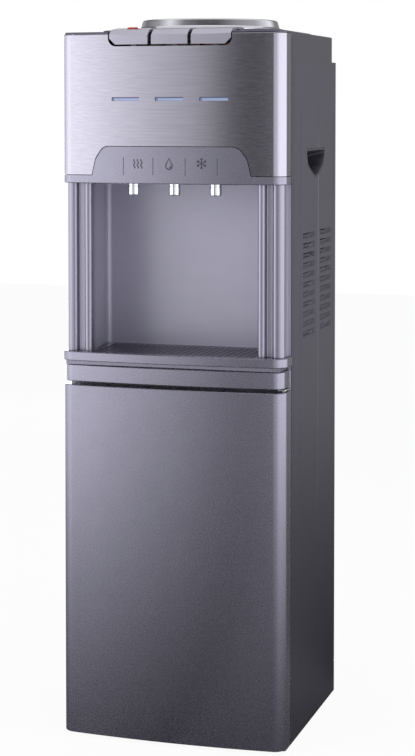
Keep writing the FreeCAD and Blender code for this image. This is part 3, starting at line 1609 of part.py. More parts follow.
def tank_shelves():
    """Two pressed steel shelves: one above the cupboard for the hot tank, one for the cold tank in its foam."""
    deck = Piece("tank_shelves")
    back = rear - 2 * sizes.sheet - 22
    flange = sizes.liner_wall
    front = cabinet_front + sizes.flange_gap + 0.2
    deck.add("XY_Plane", [rectangle(-inner, front, inner, back)], "deck_level", flange)
    for side in (-1, 1):
        near = side * inner
        far = side * (inner - flange)
        deck.add("XY_Plane", [rectangle(min(near, far), front, max(near, far), back)], "deck_level - 16", 16.2)
    front = sizes.alcove_depth + sizes.alcove_wall + 0.2
    top = sizes.shelf_thickness
    deck.add("XY_Plane", [rectangle(-inner, front, inner, back)], "shelf_level", top)
    for side in (-1, 1):
        near = side * inner
        far = side * (inner - top)
        deck.add("XY_Plane", [rectangle(min(near, far), front, max(near, far), back)], "shelf_level - 18", 18.2)
    feed_x, feed_y = feed_place()
    outlet_y = hot_outlet()[1]
    deck.cut("XY_Plane", [
        circle(feed_x, feed_y, 7),
        rectangle(hose_aside - 6.5, front + 6, hose_aside + 11, outlet_y - 26, 5),
    ], sizes.shelf_level - 5, 20)
    cup_foot = sizes.grip_foot - 7
    clear = cup_wall - 1.5
    notches = [
        rectangle(min(side * clear, side * half), sizes.grip_front - 9,
                  max(side * clear, side * half), sizes.grip_front + sizes.grip_length + 9)
        for side in (-1, 1)
    ]
    deck.cut("XY_Plane", notches, cup_foot, 30)
    return deck.done()


# ---------------------------------------------------------------- refrigeration

def compressor():
    """Welded shell with a seam, three stubs and a foot plate."""
    shell = Piece("compressor")
    radius = sizes.compressor_radius
    low = sizes.compressor_bottom
    top = sizes.compressor_top
    seam = (low + top) / 2
    shell.turn(
        [(0, low), (radius, low), (radius, seam - 3), (radius + 4, seam - 3), (radius + 4, seam + 3),
         (radius, seam + 3), (radius, top), (0, top)],
        {1: 16, 3: 1.5, 4: 1.5, 6: 24},
    )
    plate = rectangle(-62, -44, 62, 44, 6)
    holes = [circle(x, y, 6.1) for x, y in mount_places]
    shell.add("XY_Plane", [plate] + holes, low - 3, 4)
    shell.add("XY_Plane", [circle(x, y, 4) for x, y in (suction_stub, discharge_stub)], top - 14, 22)
    return shell.done("compressor_aside", "compressor_back")


suction_stub = (14, 10)
discharge_stub = (-18, 0)
mount_places = [(x, y) for x in (-53, 53) for y in (-35, 35)]


def compressor_mounts():
    """Rubber grommets between the pan and the compressor's foot plate."""
    mounts = Piece("compressor_mounts")
    low = sizes.liner_wall
    plate = sizes.compressor_bottom - 3
    mounts.add("XY_Plane", [circle(x, y, 9) for x, y in mount_places], low, plate - low)
    mounts.add("XY_Plane", [circle(x, y, 6) for x, y in mount_places], plate, 6)
    mounts.add("XY_Plane", [circle(x, y, 8) for x, y in mount_places], plate + 4, 3)
    return mounts.done("compressor_aside", "compressor_back")


def relay_box():
    """Cover over the compressor's terminals."""
    cover = Piece("relay_box")
    level = (sizes.compressor_bottom + sizes.compressor_top) / 2
    start = sizes.compressor_aside + sizes.compressor_radius + 4.2
    back = sizes.compressor_back
    cover.add("XY_Plane", [rectangle(start, back - 26, start + 26, back + 26, 5)], level - 28, 56)
    cover.soften("Fillet", 3, lambda edge: edge.BoundBox.ZMin > level + 27 and edge.BoundBox.ZLength < 0.1)
    return cover.done()


def top_run_level():
    return sizes.condenser_bottom + (sizes.condenser_runs - 1) * sizes.condenser_pitch


def condenser():
    """Serpentine tube with upright wires on both faces, held by four clips behind the rear panel."""
    depth = rear + sizes.condenser_standoff
    reach = sizes.condenser_half
    pitch = sizes.condenser_pitch
    bend = pitch / 2
    tube = sizes.condenser_tube
    edges = []
    for run in range(sizes.condenser_runs):
        level = sizes.condenser_bottom + run * pitch
        side = 1 if run % 2 == 0 else -1
        start = Vector(-side * reach, depth, level)
        end = Vector(side * reach, depth, level)
        edges.append(Part.LineSegment(start, end).toShape())
        if run < sizes.condenser_runs - 1:
            crown = end + Vector(side * bend, 0, bend)
            edges.append(Part.Arc(end, crown, end + Vector(0, 0, pitch)).toShape())
    solids = [piped(edges, tube)]
    wire = sizes.wire_radius
    gap = sizes.fit_gap / 3
    low = sizes.condenser_bottom - 12
    tall = top_run_level() - sizes.condenser_bottom + 24
    step = 2 * (reach - 4) / (sizes.wire_count - 1)
    for side in (-1, 1):
        for number in range(sizes.wire_count):
            x = -reach + 4 + number * step
            place = Vector(x, depth + side * (tube + gap + wire), low)
            solids.append(Part.makeCylinder(wire, tall, place))
    for x in (-reach + 4 + 0.5 * step, reach - 4 - 0.5 * step):
        for run in (0, sizes.condenser_runs - 1):
            level = sizes.condenser_bottom + run * pitch
            clip = Part.makeBox(4, sizes.condenser_standoff + tube + 1.5, 12, Vector(x - 2, rear, level - 6))
            bore = Part.makeCylinder(tube + 0.1, 12, Vector(x - 6, depth, level), Vector(1, 0, 0))
            solids.append(clip.cut(bore))
    return finish("condenser", shaped("condenser", Part.makeCompound(solids)))


def refrigerant_lines():
    """Suction and discharge lines of copper, and the filter drier with its capillary."""
    tube = sizes.condenser_tube
    depth = rear + sizes.condenser_standoff
    reach = sizes.condenser_half
    aside = sizes.compressor_aside
    back = sizes.compressor_back
    crown = sizes.compressor_top + 8.2
    corridor = rear - 16
    far = sizes.foam_radius + 12
    evaporator = sizes.cold_bottom + 34
    suction = [
        (aside + suction_stub[0], back + suction_stub[1], crown),
        (aside + suction_stub[0], back + suction_stub[1], crown + 18),
        (far, corridor, crown + 34),
        (far, corridor, evaporator - 8),
        (far - 22, corridor - 26, evaporator + 10),
    ]
    discharge = [
        (aside + discharge_stub[0], back + discharge_stub[1], crown),
        (aside + discharge_stub[0], back + discharge_stub[1], crown + 14),
        (-reach - 14, back + 24, crown + 14),
        (-reach - 14, depth, crown + 26),
        (-reach - 14, depth, sizes.condenser_bottom),
        (-reach - 0.2, depth, sizes.condenser_bottom),
    ]
    side = 1 if sizes.condenser_runs % 2 else -1
    top = top_run_level()
    liquid = [
        (side * (reach + 0.2), depth, top),
        (side * (reach + 12), depth, top),
        (side * (reach + 12), corridor, top),
        (side * (reach + 12), corridor, top - 60),
    ]
    shapes = [
        piped(bent_path(suction, 8), tube + 0.5),
        piped(bent_path(discharge, 5), tube),
        piped(bent_path(liquid, 4.5), tube),
    ]
    x = side * (reach + 12)
    drier_top = top - 60.2
    length = sizes.drier_length
    drier = Part.makeCylinder(9, length, Vector(x, corridor, drier_top - length))
    rims = [edge for edge in drier.Edges if edge.Closed and edge.BoundBox.ZLength < 0.1]
    drier = drier.makeFillet(4, rims)
    shapes.append(drier)
    return finish("refrigerant_lines", shaped("refrigerant_lines", Part.makeCompound(shapes)))


# ---------------------------------------------------------------- rear fittings

switch_places = (sizes.switch_aside - 8.5, sizes.switch_aside + 8.5)


def switch_frame():
    """Bezel that snaps into the rear panel and holds the two rockers."""
    frame = Piece("switch_frame")
    x, z = sizes.switch_aside, sizes.switch_level
    openings = [rectangle(place - 6.7, z - 10.2, place + 6.7, z + 10.2) for place in switch_places]
    frame.add("XZ_Plane", [rectangle(x - 19.5, z - 13.5, x + 19.5, z + 13.5, 2)] + openings, rear, 1.6)
    side = 17.3
    frame.add("XZ_Plane", [rectangle(x - side, z - 11.3, x + side, z + 11.3)] + openings, rear - 14, 14)
    bore = circle(rear - 4, z, sizes.rocker_pin + sizes.bearing_gap)
    frame.cut("YZ_Plane", [bore], x - side + 0.7, 2 * (side - 0.7))
    return frame.done()


def rocker(name, place):
    """Rocker switch with a shallow V face on two pins, tilted to its off side."""
    pivot = rear - 4
    length = sizes.rocker_length
    profile = outline(
        [(-6, -length + 1), (4.6, -length), (5.2, -length), (3.2, 0), (5.2, length), (4.6, length), (-6, length - 1)],
        {},
    )
    switch = Piece(name)
    switch.add("YZ_Plane", [profile], -6.3, 12.6)
    switch.add("YZ_Plane", [circle(0, 0, sizes.rocker_pin)], -7.6, 15.2)
    switch.done(place, pivot)
    switch.body.setExpression("Placement.Base.z", "%s + %s" % (formula("foot_drop"), formula("switch_level")))
    switch.body.Placement.Rotation = FreeCAD.Rotation(Vector(1, 0, 0), sizes.rocker_tilt)
    return switch.body


def cord_gland():
    """Strain relief bush for the mains lead, empty here."""
    gland = Piece("cord_gland")
    x, z = -sizes.gland_aside, sizes.gland_level
    bore = circle(x, z, 4)
    gland.add("XZ_Plane", [circle(x, z, 10), bore], rear, 3)
    gland.add("XZ_Plane", [circle(x, z, 7), bore], rear - 8, 8)
    return gland.done()


def drain_spout():
    spout = Piece("drain_spout")
    x, z = -sizes.spout_aside, sizes.spout_level
    bore = circle(x, z, 4)
    radius = sizes.spout_radius
    spout.add("XZ_Plane", [circle(x, z, radius), bore], rear - 12, 20)
    spout.add("XZ_Plane", [circle(x, z, radius + 3), bore], rear - sizes.sheet - 2, 2)
    return spout.done()


def drain_cap():
    """Screw cap over the drain spout, with a finned rim."""
    cap = Piece("drain_cap")
    x, z = -sizes.spout_aside, sizes.spout_level
    radius = sizes.spout_radius
    cap.add("XZ_Plane", [circle(x, z, radius + 2.6)], rear + 0.3, 9.4)
    cap.cut("XZ_Plane", [circle(x, z, radius + 0.1)], rear, 8.1)
    fins = [
        circle(x + (radius + 2.6) * math.cos(turn * math.pi / 6), z + (radius + 2.6) * math.sin(turn * math.pi / 6), 0.7)
        for turn in range(12)
    ]
    cap.add("XZ_Plane", fins, rear + 0.3, 9.4)
    return cap.done()


base_pan()
rubber_feet()
side_panel()
grip_cups()
rear_panel()
panel_screws()
door_outer()
door_liner()
door_gasket()
hinge_bushes()
hinge_brackets()
front_band()
front_panel()
tap_apron()
indicator_windows()
indicator_board()
alcove_liner()
drip_tray()
drip_grille()
for key_name in tap_places:
    push_key(key_name)
    plunger(key_name)
    key_spring(key_name)
hot_lock()
key_bracket()
key_axle()
tap_nozzles()
tap_bodies()
top_cover()
seat_collar()
bottle_seat()
bottle_probe()
seat_gasket()
cold_tank()
cold_insulation()
evaporator_coil()
baffle()
hot_tank()
band_heater()
hot_insulation()
water_hoses()
cabinet_liner()
tank_shelves()
compressor()
compressor_mounts()
relay_box()
condenser()
refrigerant_lines()
switch_frame()
rocker("rocker_heating", switch_places[0])
rocker("rocker_cooling", switch_places[1])
cord_gland()
drain_spout()
drain_cap()

doc.recompute()
failed = [item.Label for item in doc.Objects if {"Invalid", "Error"} & set(item.State)]
if failed:
    raise RuntimeError("not built: " + ", ".join(failed))
for node in nodes:
    if node.Shape.isNull() or not node.Shape.isValid():
        raise RuntimeError("bad shape: " + node.Label)

os.makedirs("parts", exist_ok=True)
for node in nodes:
    node.Shape.exportStep(os.path.join("parts", node.Label + ".step"))
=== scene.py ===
import json
import math

import bmesh
import bpy
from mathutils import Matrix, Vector

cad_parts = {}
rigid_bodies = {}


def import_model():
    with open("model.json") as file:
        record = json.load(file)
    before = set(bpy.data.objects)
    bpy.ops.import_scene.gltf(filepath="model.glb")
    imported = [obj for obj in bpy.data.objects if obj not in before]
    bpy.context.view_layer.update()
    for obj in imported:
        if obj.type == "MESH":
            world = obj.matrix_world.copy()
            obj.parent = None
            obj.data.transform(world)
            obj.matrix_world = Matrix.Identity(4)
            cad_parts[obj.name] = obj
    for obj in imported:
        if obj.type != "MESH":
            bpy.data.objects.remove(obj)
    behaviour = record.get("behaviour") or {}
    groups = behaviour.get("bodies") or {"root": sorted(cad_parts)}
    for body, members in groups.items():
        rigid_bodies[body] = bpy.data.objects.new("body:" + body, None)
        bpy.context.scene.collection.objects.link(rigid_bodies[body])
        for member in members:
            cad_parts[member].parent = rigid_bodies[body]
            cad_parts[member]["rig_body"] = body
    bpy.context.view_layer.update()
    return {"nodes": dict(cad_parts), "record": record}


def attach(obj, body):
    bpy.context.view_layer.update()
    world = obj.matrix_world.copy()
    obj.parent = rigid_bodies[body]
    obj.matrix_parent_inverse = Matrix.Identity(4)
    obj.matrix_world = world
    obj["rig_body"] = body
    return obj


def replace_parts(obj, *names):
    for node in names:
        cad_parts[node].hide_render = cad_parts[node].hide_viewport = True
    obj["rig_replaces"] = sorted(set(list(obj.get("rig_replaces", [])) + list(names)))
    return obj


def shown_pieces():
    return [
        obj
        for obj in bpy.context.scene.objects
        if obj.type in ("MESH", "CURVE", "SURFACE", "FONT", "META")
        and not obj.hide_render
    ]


# A floor-standing water cooler: metallic grey mouldings and side panels, a brushed upper panel with
# three push keys, chrome taps over a ribbed alcove, and a polished bottle collar on top.
# Sizes are in millimetres in the cabinet's own frame: x = 0 is the middle, y = 0 the chord between
# the front corners and z = 0 the lower edge of the side panels. at() turns them into the row frame.

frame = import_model()

MM = 0.001
CABINET_ORIGIN = Vector((0, -145.6, 4)) * MM

HALF_WIDTH = 155
FRONT_BOW = 7.8
CORNER_RADIUS = 16.4
FRONT_DEPTH = 36
SHELL_WALL = 2.5
RECESS_CLEARANCE = 0.1
DOOR_LOW, DOOR_HIGH, DOOR_ROUND = 1, 475, 1.5
BAND_LOW, BAND_HIGH, BAND_INSET, BAND_ROUND = 479.7, 502, 2.5, 1.2
APRON_LOW = 747
PRINT_LEVEL, PRINT_RELIEF = 773.5, 0.12
STEAM_PLACE, FLAKE_PLACE = -43.5, 44.7
RULE_PLACES, RULE_LOW, RULE_HIGH = (-64, -22.3, 22.3, 65.7), 758.5, 782
WINDOW_LEVEL, WINDOW_LENGTH, WINDOW_HEIGHT = 859, 39, 5
WINDOW_PITCH = 61
TAP_SPACING, TAP_FORWARD = 57, 17
SEAT_BACK = 173
PLATEAU_TOP = 953

# How finely arcs are divided, and what counts as one place, one plane and a sharp edge.
CORNER_STEPS, BOW_STEPS = 14, 40
SAME_PLACE = 0.002
SAME_PLANE = math.radians(0.2)
SMOOTH_BELOW = math.radians(32)
SHARP_ABOVE = math.radians(40)
FLAT_FACE_WEIGHT = 80


def at(x, y, z):
    """A place in the cabinet's frame, in the row frame."""
    return CABINET_ORIGIN + Vector((x, y, z)) * MM


# ---------------------------------------------------------------- shapes

BOW_RADIUS = (HALF_WIDTH ** 2 + FRONT_BOW ** 2) / (2 * FRONT_BOW)
BOW_BACK = BOW_RADIUS - FRONT_BOW
CORNER_ASIDE = HALF_WIDTH - CORNER_RADIUS
CORNER_BACK = BOW_BACK - math.sqrt((BOW_RADIUS - CORNER_RADIUS) ** 2 - CORNER_ASIDE ** 2)
BOW_ANGLE = math.asin(CORNER_ASIDE / (BOW_RADIUS - CORNER_RADIUS))
ON_THE_ARC = math.cos(math.radians(10))


def bowed_y(x):
    """Depth of the bowed front at a place across it."""
    return BOW_BACK - math.sqrt(BOW_RADIUS ** 2 - x ** 2)


def ends_of(result):
    return [item for item in result["geom_last"] if isinstance(item, bmesh.types.BMVert)]


def bowed_block(low, high, back, outward=0.0):
    """A closed block with the bowed front and round corners; returns the mesh and its back face."""
    bm = bmesh.new()
    point = bm.verts.new(at(-HALF_WIDTH - outward, back, low))
    moved = bmesh.ops.extrude_vert_indiv(bm, verts=[point])["verts"]
    bmesh.ops.translate(bm, verts=moved, vec=Vector((0, CORNER_BACK - back, 0)) * MM)
    turns = [
        (at(-CORNER_ASIDE, CORNER_BACK, low), math.pi / 2 - BOW_ANGLE, CORNER_STEPS),
        (at(0, BOW_BACK, low), 2 * BOW_ANGLE, BOW_STEPS),
        (at(CORNER_ASIDE, CORNER_BACK, low), math.pi / 2 - BOW_ANGLE, CORNER_STEPS),
    ]
    for centre, angle, steps in turns:
        moved = ends_of(bmesh.ops.spin(
            bm, geom=moved, cent=centre, axis=(0, 0, 1), angle=angle, steps=steps, use_merge=False,
        ))
    last = bmesh.ops.extrude_vert_indiv(bm, verts=moved)["verts"]
    bmesh.ops.translate(bm, verts=last, vec=Vector((0, back - CORNER_BACK, 0)) * MM)
    bm.edges.new((last[0], point))
    floor = bmesh.ops.contextual_create(bm, geom=bm.edges[:])["faces"]
    raised = bmesh.ops.extrude_face_region(bm, geom=floor, use_keep_orig=True)["geom"]
    tops = [item for item in raised if isinstance(item, bmesh.types.BMVert)]
    bmesh.ops.translate(bm, verts=tops, vec=(0, 0, (high - low) * MM))
    bmesh.ops.recalc_face_normals(bm, faces=bm.faces)
    behind = max(bm.faces, key=lambda face: face.calc_center_median().y + face.normal.y)
    return bm, behind


def level_rims(bm, behind):
    """The level edges round a bowed block's top and bottom, ahead of a depth in millimetres."""
    reach = at(0, behind, 0).y
    return [
        edge for edge in bm.edges
        if abs(edge.verts[0].co.z - edge.verts[1].co.z) < 0.01 * MM
        and min(vert.co.y for vert in edge.verts) < reach
        and len({abs(face.normal.z) > 0.5 for face in edge.link_faces}) == 2
    ]


def round_edges(bm, chosen, radius, segments=3):
    """Round the chosen edges by a radius in millimetres."""
    bmesh.ops.bevel(
        bm, geom=chosen, offset=radius * MM, offset_type="OFFSET", affect="EDGES",
        segments=segments, profile=0.5, material=-1, clamp_overlap=True,
    )


def turned(points, middle, rounds, steps):
    """A closed form turned about an upright axis from (radius, height) points; rounds maps the number
    of a corner to its radius."""
    bm = bmesh.new()
    profile = [bm.verts.new(at(middle[0] + radius, middle[1], height)) for radius, height in points]
    for number, vert in enumerate(profile):
        bm.edges.new((vert, profile[(number + 1) % len(profile)]))
    for number, radius in sorted(rounds.items()):
        bmesh.ops.bevel(
            bm, geom=[profile[number]], offset=radius * MM, offset_type="OFFSET", affect="VERTICES",
            segments=4, profile=0.5, material=-1, clamp_overlap=True,
        )
    bmesh.ops.spin(
        bm, geom=bm.verts[:] + bm.edges[:], cent=at(middle[0], middle[1], 0), axis=(0, 0, 1),
        angle=2 * math.pi, steps=steps, use_merge=True,
    )
    bmesh.ops.remove_doubles(bm, verts=bm.verts, dist=0.001 * MM)
    bmesh.ops.recalc_face_normals(bm, faces=bm.faces)
    return bm


def joined(meshes):
    """Several meshes as one."""
    whole = bmesh.new()
    for part in meshes:
        holder = bpy.data.meshes.new("part")
        part.to_mesh(holder)
        whole.from_mesh(holder)
        part.free()
        bpy.data.meshes.remove(holder)
    return whole


def shade(mesh):
    """Smooth shading with creases kept sharp."""
    for face in mesh.polygons:
        face.use_smooth = True
    mesh.set_sharp_from_angle(angle=SMOOTH_BELOW)


def follow_arcs(mesh):
    """Shade the bowed front and its round corners by their true arcs, however the surface is cut."""
    tangent = BOW_RADIUS * math.sin(BOW_ANGLE)
    normals = [Vector((0, 0, 0))] * len(mesh.loops)

    def arc_normal(place):
        across = place.x / MM
        centre = at(0, BOW_BACK, 0)
        if abs(across) > tangent:
            centre = at(math.copysign(CORNER_ASIDE, across), CORNER_BACK, 0)
        return Vector((place.x - centre.x, place.y - centre.y, 0)).normalized()

    for face in mesh.polygons:
        if face.normal.dot(arc_normal(face.center)) > ON_THE_ARC:
            for loop in face.loop_indices:
                normals[loop] = arc_normal(mesh.vertices[mesh.loops[loop].vertex_index].co)
    mesh.normals_split_custom_set(normals)


def weigh_normals(piece):
    """Let the large flat faces set the shading of the small ones beside them."""
    weighted = piece.modifiers.new("even_shading", "WEIGHTED_NORMAL")
    weighted.keep_sharp = True
    weighted.weight = FLAT_FACE_WEIGHT


def soften_edges(piece, width):
    """Round the sharp edges a little."""
    bevel = piece.modifiers.new("soft_edges", "BEVEL")
    bevel.width = width * MM
    bevel.segments = 2
    bevel.limit_method = "ANGLE"
    bevel.angle_limit = SHARP_ABOVE
    bevel.miter_outer = "MITER_ARC"
    bevel.use_clamp_overlap = True


def show(name, bm, body, material, stands_for=(), weighed=True):
    """Make a mesh a piece of the cooler, riding on a body."""
    mesh = bpy.data.meshes.new(name)
    bm.to_mesh(mesh)
    bm.free()
    shade(mesh)
    mesh.materials.append(material)
    piece = bpy.data.objects.new(name, mesh)
    bpy.context.scene.collection.objects.link(piece)
    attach(piece, body)
    if stands_for:
        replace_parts(piece, *stands_for)
    if weighed:
        weigh_normals(piece)
    return piece


def dressed(node_name, material, edge):
    """A merged copy of a CAD node, shown in its place, with its sharp edges rounded by a width in
    millimetres, or left as they are where that is 0."""
    node = frame["nodes"][node_name]
    bm = bmesh.new()
    bm.from_mesh(node.data)
    bmesh.ops.remove_doubles(bm, verts=bm.verts, dist=SAME_PLACE * MM)
    bmesh.ops.dissolve_limit(
        bm, angle_limit=SAME_PLANE, use_dissolve_boundaries=False, verts=bm.verts, edges=bm.edges,
    )
    bowed = node_name in BOWED_NODES
    if bowed:
        sharp = [item for item in bm.edges if item.is_manifold and item.calc_face_angle() > SHARP_ABOVE]
        round_edges(bm, sharp, edge, 2)
    name = node_name + "_finished"
    piece = show(name, bm, node["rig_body"], material, [node_name], weighed=False)
    if bowed:
        follow_arcs(piece.data)
        return piece
    if edge:
        soften_edges(piece, edge)
    weigh_normals(piece)
    return piece


BOWED_NODES = ("front_panel", "tap_apron")
SLOT_OF = {entry["node"]: entry["material_slot"] for entry in frame["record"]["subparts"]}


# ---------------------------------------------------------------- finishes

def linear(code):
    """An sRGB hex colour as linear RGBA."""
    def channel(value):
        return value / 12.92 if value <= 0.04045 else ((value + 0.055) / 1.055) ** 2.4
    return [channel(int(code[start:start + 2], 16) / 255) for start in (1, 3, 5)] + [1.0]


def add(tree, kind, inputs=None, **settings):
    """Add a node with its settings; an input is a value, or a node whose output to link and its name."""
    made = tree.nodes.new(kind)
    for key, value in settings.items():
        setattr(made, key, value)
    for key, value in (inputs or {}).items():
        if isinstance(value, tuple) and isinstance(value[0], bpy.types.Node):
            tree.links.new(value[0].outputs[value[1]], made.inputs[key])
        else:
            made.inputs[key].default_value = value
    return made


MIX_FIRST, MIX_SECOND, MIX_COLOUR = 6, 7, 2


def mixed(tree, factor, first, second):
    """A blend of two colours; its colour comes out of socket MIX_COLOUR."""
    inputs = {0: factor, MIX_FIRST: first, MIX_SECOND: second}
    return add(tree, "ShaderNodeMix", inputs, data_type="RGBA")


def finish(name, shades, patch, gloss, grain, relief, stretch=(1, 1, 1), **shader_values):
    """A finish on Object coordinates.

    Its colour drifts between two shades over patches of a size in millimetres, and its gloss and
    relief vary over a grain in millimetres. stretch draws both out along an axis, as brushing does.
    """
    material = bpy.data.materials.new(name)
    material.use_nodes = True
    tree = material.node_tree
    shader = tree.nodes["Principled BSDF"]
    for key, value in shader_values.items():
        shader.inputs[key.replace("_", " ")].default_value = value
    place = add(tree, "ShaderNodeTexCoord")
    drawn = add(tree, "ShaderNodeMapping", {"Vector": (place, "Object"), "Scale": stretch})
    patches = add(tree, "ShaderNodeTexNoise", {
        "Vector": (drawn, "Vector"), "Scale": 1 / (patch * MM), "Detail": 3.0,
    })
    grains = add(tree, "ShaderNodeTexNoise", {
        "Vector": (drawn, "Vector"), "Scale": 1 / (grain * MM), "Detail": 4.0,
    })
    tint = mixed(tree, (patches, "Fac"), linear(shades[0]), linear(shades[1]))
    sheen = add(tree, "ShaderNodeMapRange", {
        "Value": (grains, "Fac"), "To Min": gloss[0], "To Max": gloss[1],
    })
    bump = add(tree, "ShaderNodeBump", {
        "Height": (grains, "Fac"), "Distance": relief * MM, "Strength": 1.0,
    })
    tree.links.new(tint.outputs[MIX_COLOUR], shader.inputs["Base Color"])
    tree.links.new(sheen.outputs["Result"], shader.inputs["Roughness"])
    tree.links.new(bump.outputs["Normal"], shader.inputs["Normal"])
    return material


def recoloured(material, share, colour):
    """Blend a finish's tint over a plain colour; where share is 1, the tint is left as it is."""
    tree = material.node_tree
    base = tree.nodes["Principled BSDF"].inputs["Base Color"]
    blend = mixed(tree, share, linear(colour), (base.links[0].from_node, MIX_COLOUR))
    tree.links.new(blend.outputs[MIX_COLOUR], base)


# ABS moulding under a metallic grey lacquer: satin, with a faint drift of the flakes.
grey_lacquer = finish(
    "abs_metallic_grey_lacquer", ("#92909e", "#8b8997"), 24, (0.25, 0.29), 2.2, 0.0008,
    Metallic=0.86, Coat_Weight=0.1, Coat_Roughness=0.2,
)
# The same lacquer on the keys, a shade lighter and duller.
key_lacquer = finish(
    "abs_light_grey_lacquer", ("#acaab6", "#a6a4b0"), 18, (0.34, 0.38), 2.2, 0.001,
    Metallic=0.7, Coat_Weight=0.1, Coat_Roughness=0.25,
)


def alcove_moulding_painted_light():
    """Grey ABS, metallic and darker on the pillars in front; deeper in the alcove it turns lighter and less
    metallic, which is painted light that keeps the walls bright where the alcove shades them.
    """
    material = finish(
        "abs_grey_painted_light_inside", ("#b9b7c6", "#b2b0bf"), 24, (0.3, 0.34), 2.2, 0.0008,
        Coat_Weight=0.08, Coat_Roughness=0.25,
    )
    tree = material.node_tree
    place = add(tree, "ShaderNodeTexCoord")
    parts = add(tree, "ShaderNodeSeparateXYZ", {0: (place, "Object")})
    pillar_tone_end, painted_light_start = 14, 34
    inside = add(tree, "ShaderNodeMapRange", {
        "Value": (parts, "Y"), "From Min": at(0, pillar_tone_end, 0).y, "From Max": at(0, painted_light_start, 0).y,
    })
    # Painted light: from the pillars inwards the colour blends lighter and less metallic, so the alcove's
    # shaded walls stay bright.
    metal = add(tree, "ShaderNodeMapRange", {"Value": (inside, "Result"), "To Min": 0.86, "To Max": 0.2})
    tree.links.new(metal.outputs["Result"], tree.nodes["Principled BSDF"].inputs["Metallic"])
    recoloured(material, (inside, "Result"), "#93919f")
    return material


alcove_grey_painted_light = alcove_moulding_painted_light()
# The top cover: a darker metallic lacquer, level with the painted sides.
dark_lacquer = finish(
    "abs_dark_grey_lacquer", ("#63616e", "#5c5a67"), 24, (0.28, 0.32), 2.2, 0.0008,
    Metallic=0.85, Coat_Weight=0.1, Coat_Roughness=0.2,
)
# Stainless sheet with a brushed grain across the panel, which spreads light upwards and downwards but
# hardly sideways. Real lines are 0.1 mm apart; 0.8 mm shows.
brushed_steel = finish(
    "brushed_stainless_front", ("#b3b1bc", "#96949f"), 0.9, (0.12, 0.22), 0.8, 0.03,
    stretch=(0.012, 1, 1), Metallic=1.0,
)
# Sheet steel under grey metallic powder paint on the sides: low gloss with a fine orange peel. The drip
# grille wears it too, darker than the grey of its tray: painted shade for the shade between its holes.
side_paint_and_painted_grille_shade = finish(
    "steel_grey_powder_paint", ("#65626f", "#5d5a67"), 40, (0.3, 0.35), 1.6, 0.003,
    Metallic=0.85, Coat_Weight=0.05, Coat_Roughness=0.3,
)
# Black ABS, fine moulded texture: the keys' bracket and the rear fittings.
black_abs = finish("abs_black_fine_texture", ("#1c1b20", "#232228"), 12, (0.45, 0.58), 0.9, 0.02)
# Dark grey ABS in the grip cups, a little lighter than the black.
dark_abs = finish("abs_dark_grey", ("#33313a", "#3b3943"), 12, (0.4, 0.5), 0.9, 0.015)
# Polished chrome plate on the nozzles and the collar.
chrome = finish("polished_chrome_plate", ("#d9d9de", "#d2d2d8"), 30, (0.07, 0.11), 4.0, 0.001, Metallic=1.0)


def light_guide():
    """Pale blue acrylic, faintly lit, and dark at its left end and upper edge, which the slot shades."""
    material = finish(
        "acrylic_light_guide", ("#94a0c2", "#9fabca"), 14, (0.18, 0.26), 3.0, 0.001,
        Emission_Color=linear("#9db3e6"), Emission_Strength=0.05,
    )
    tree = material.node_tree
    place = add(tree, "ShaderNodeTexCoord")
    parts = add(tree, "ShaderNodeSeparateXYZ", {0: (place, "Object")})
    left_edge = 1.5 * WINDOW_PITCH * MM
    shifted = add(tree, "ShaderNodeMath", {0: (parts, "X"), 1: left_edge}, operation="ADD")
    along = add(tree, "ShaderNodeMath", {0: (shifted, "Value"), 1: WINDOW_PITCH * MM}, operation="MODULO")
    left_end = (WINDOW_PITCH - WINDOW_LENGTH) / 2
    upper = at(0, 0, WINDOW_LEVEL + WINDOW_HEIGHT / 2).z
    lit = add(tree, "ShaderNodeMapRange", {
        "Value": (along, "Value"), "From Min": (left_end + 0.5) * MM, "From Max": (left_end + 5) * MM,
    })
    below = add(tree, "ShaderNodeMapRange", {
        "Value": (parts, "Z"), "From Min": upper - 0.6 * MM, "From Max": upper - 2 * MM,
    })
    share = add(tree, "ShaderNodeMath", {0: (lit, "Result"), 1: (below, "Result")}, operation="MULTIPLY")
    recoloured(material, (share, "Value"), "#3f4254")
    return material


blue_acrylic = light_guide()
# Natural polypropylene: the cupboard, the bottle seat and the probe; a waxy, slightly pebbled white.
white_pp = finish(
    "polypropylene_white", ("#dcdce0", "#d3d4d9"), 30, (0.38, 0.48), 1.5, 0.012, Subsurface_Weight=0.05,
)
# Zinc-plated sheet with its spangle.
zinc_sheet = finish("zinc_plated_sheet", ("#9fa3a8", "#b5b9bd"), 9, (0.3, 0.46), 5.0, 0.004, Metallic=1.0)
# Black enamel on the compressor and the condenser wires.
black_enamel = finish("black_enamel", ("#101013", "#17171b"), 20, (0.25, 0.36), 2.5, 0.01, Coat_Weight=0.3)
# Red ABS on the child lock and the heating switch.
red_abs = finish("abs_red_gloss", ("#b5322e", "#a92c29"), 8, (0.22, 0.3), 2.0, 0.003)
# Soft magnetic PVC of the door seal and the rubber of the seat seal.
seal_pvc = finish("pvc_seal_grey", ("#b9bac0", "#adaeb5"), 10, (0.5, 0.62), 1.2, 0.015)
# Black rubber: feet and compressor mounts.
black_rubber = finish("nitrile_rubber_black", ("#19191b", "#222224"), 7, (0.65, 0.8), 0.8, 0.03)
# Silicone hose: milky and soft.
silicone = finish("silicone_milky", ("#d7dbdf", "#e2e5e8"), 9, (0.3, 0.42), 2.0, 0.005, Subsurface_Weight=0.2)
# Drawn copper, a little tarnished.
copper = finish("drawn_copper_tube", ("#b8734f", "#9c5d3e"), 11, (0.25, 0.42), 1.5, 0.006, Metallic=1.0)
# Expanded foam of the tank jackets, beads of about 4 mm.
foam = finish("expanded_foam", ("#e4e2dc", "#d8d5cd"), 4, (0.7, 0.85), 4.0, 0.15)
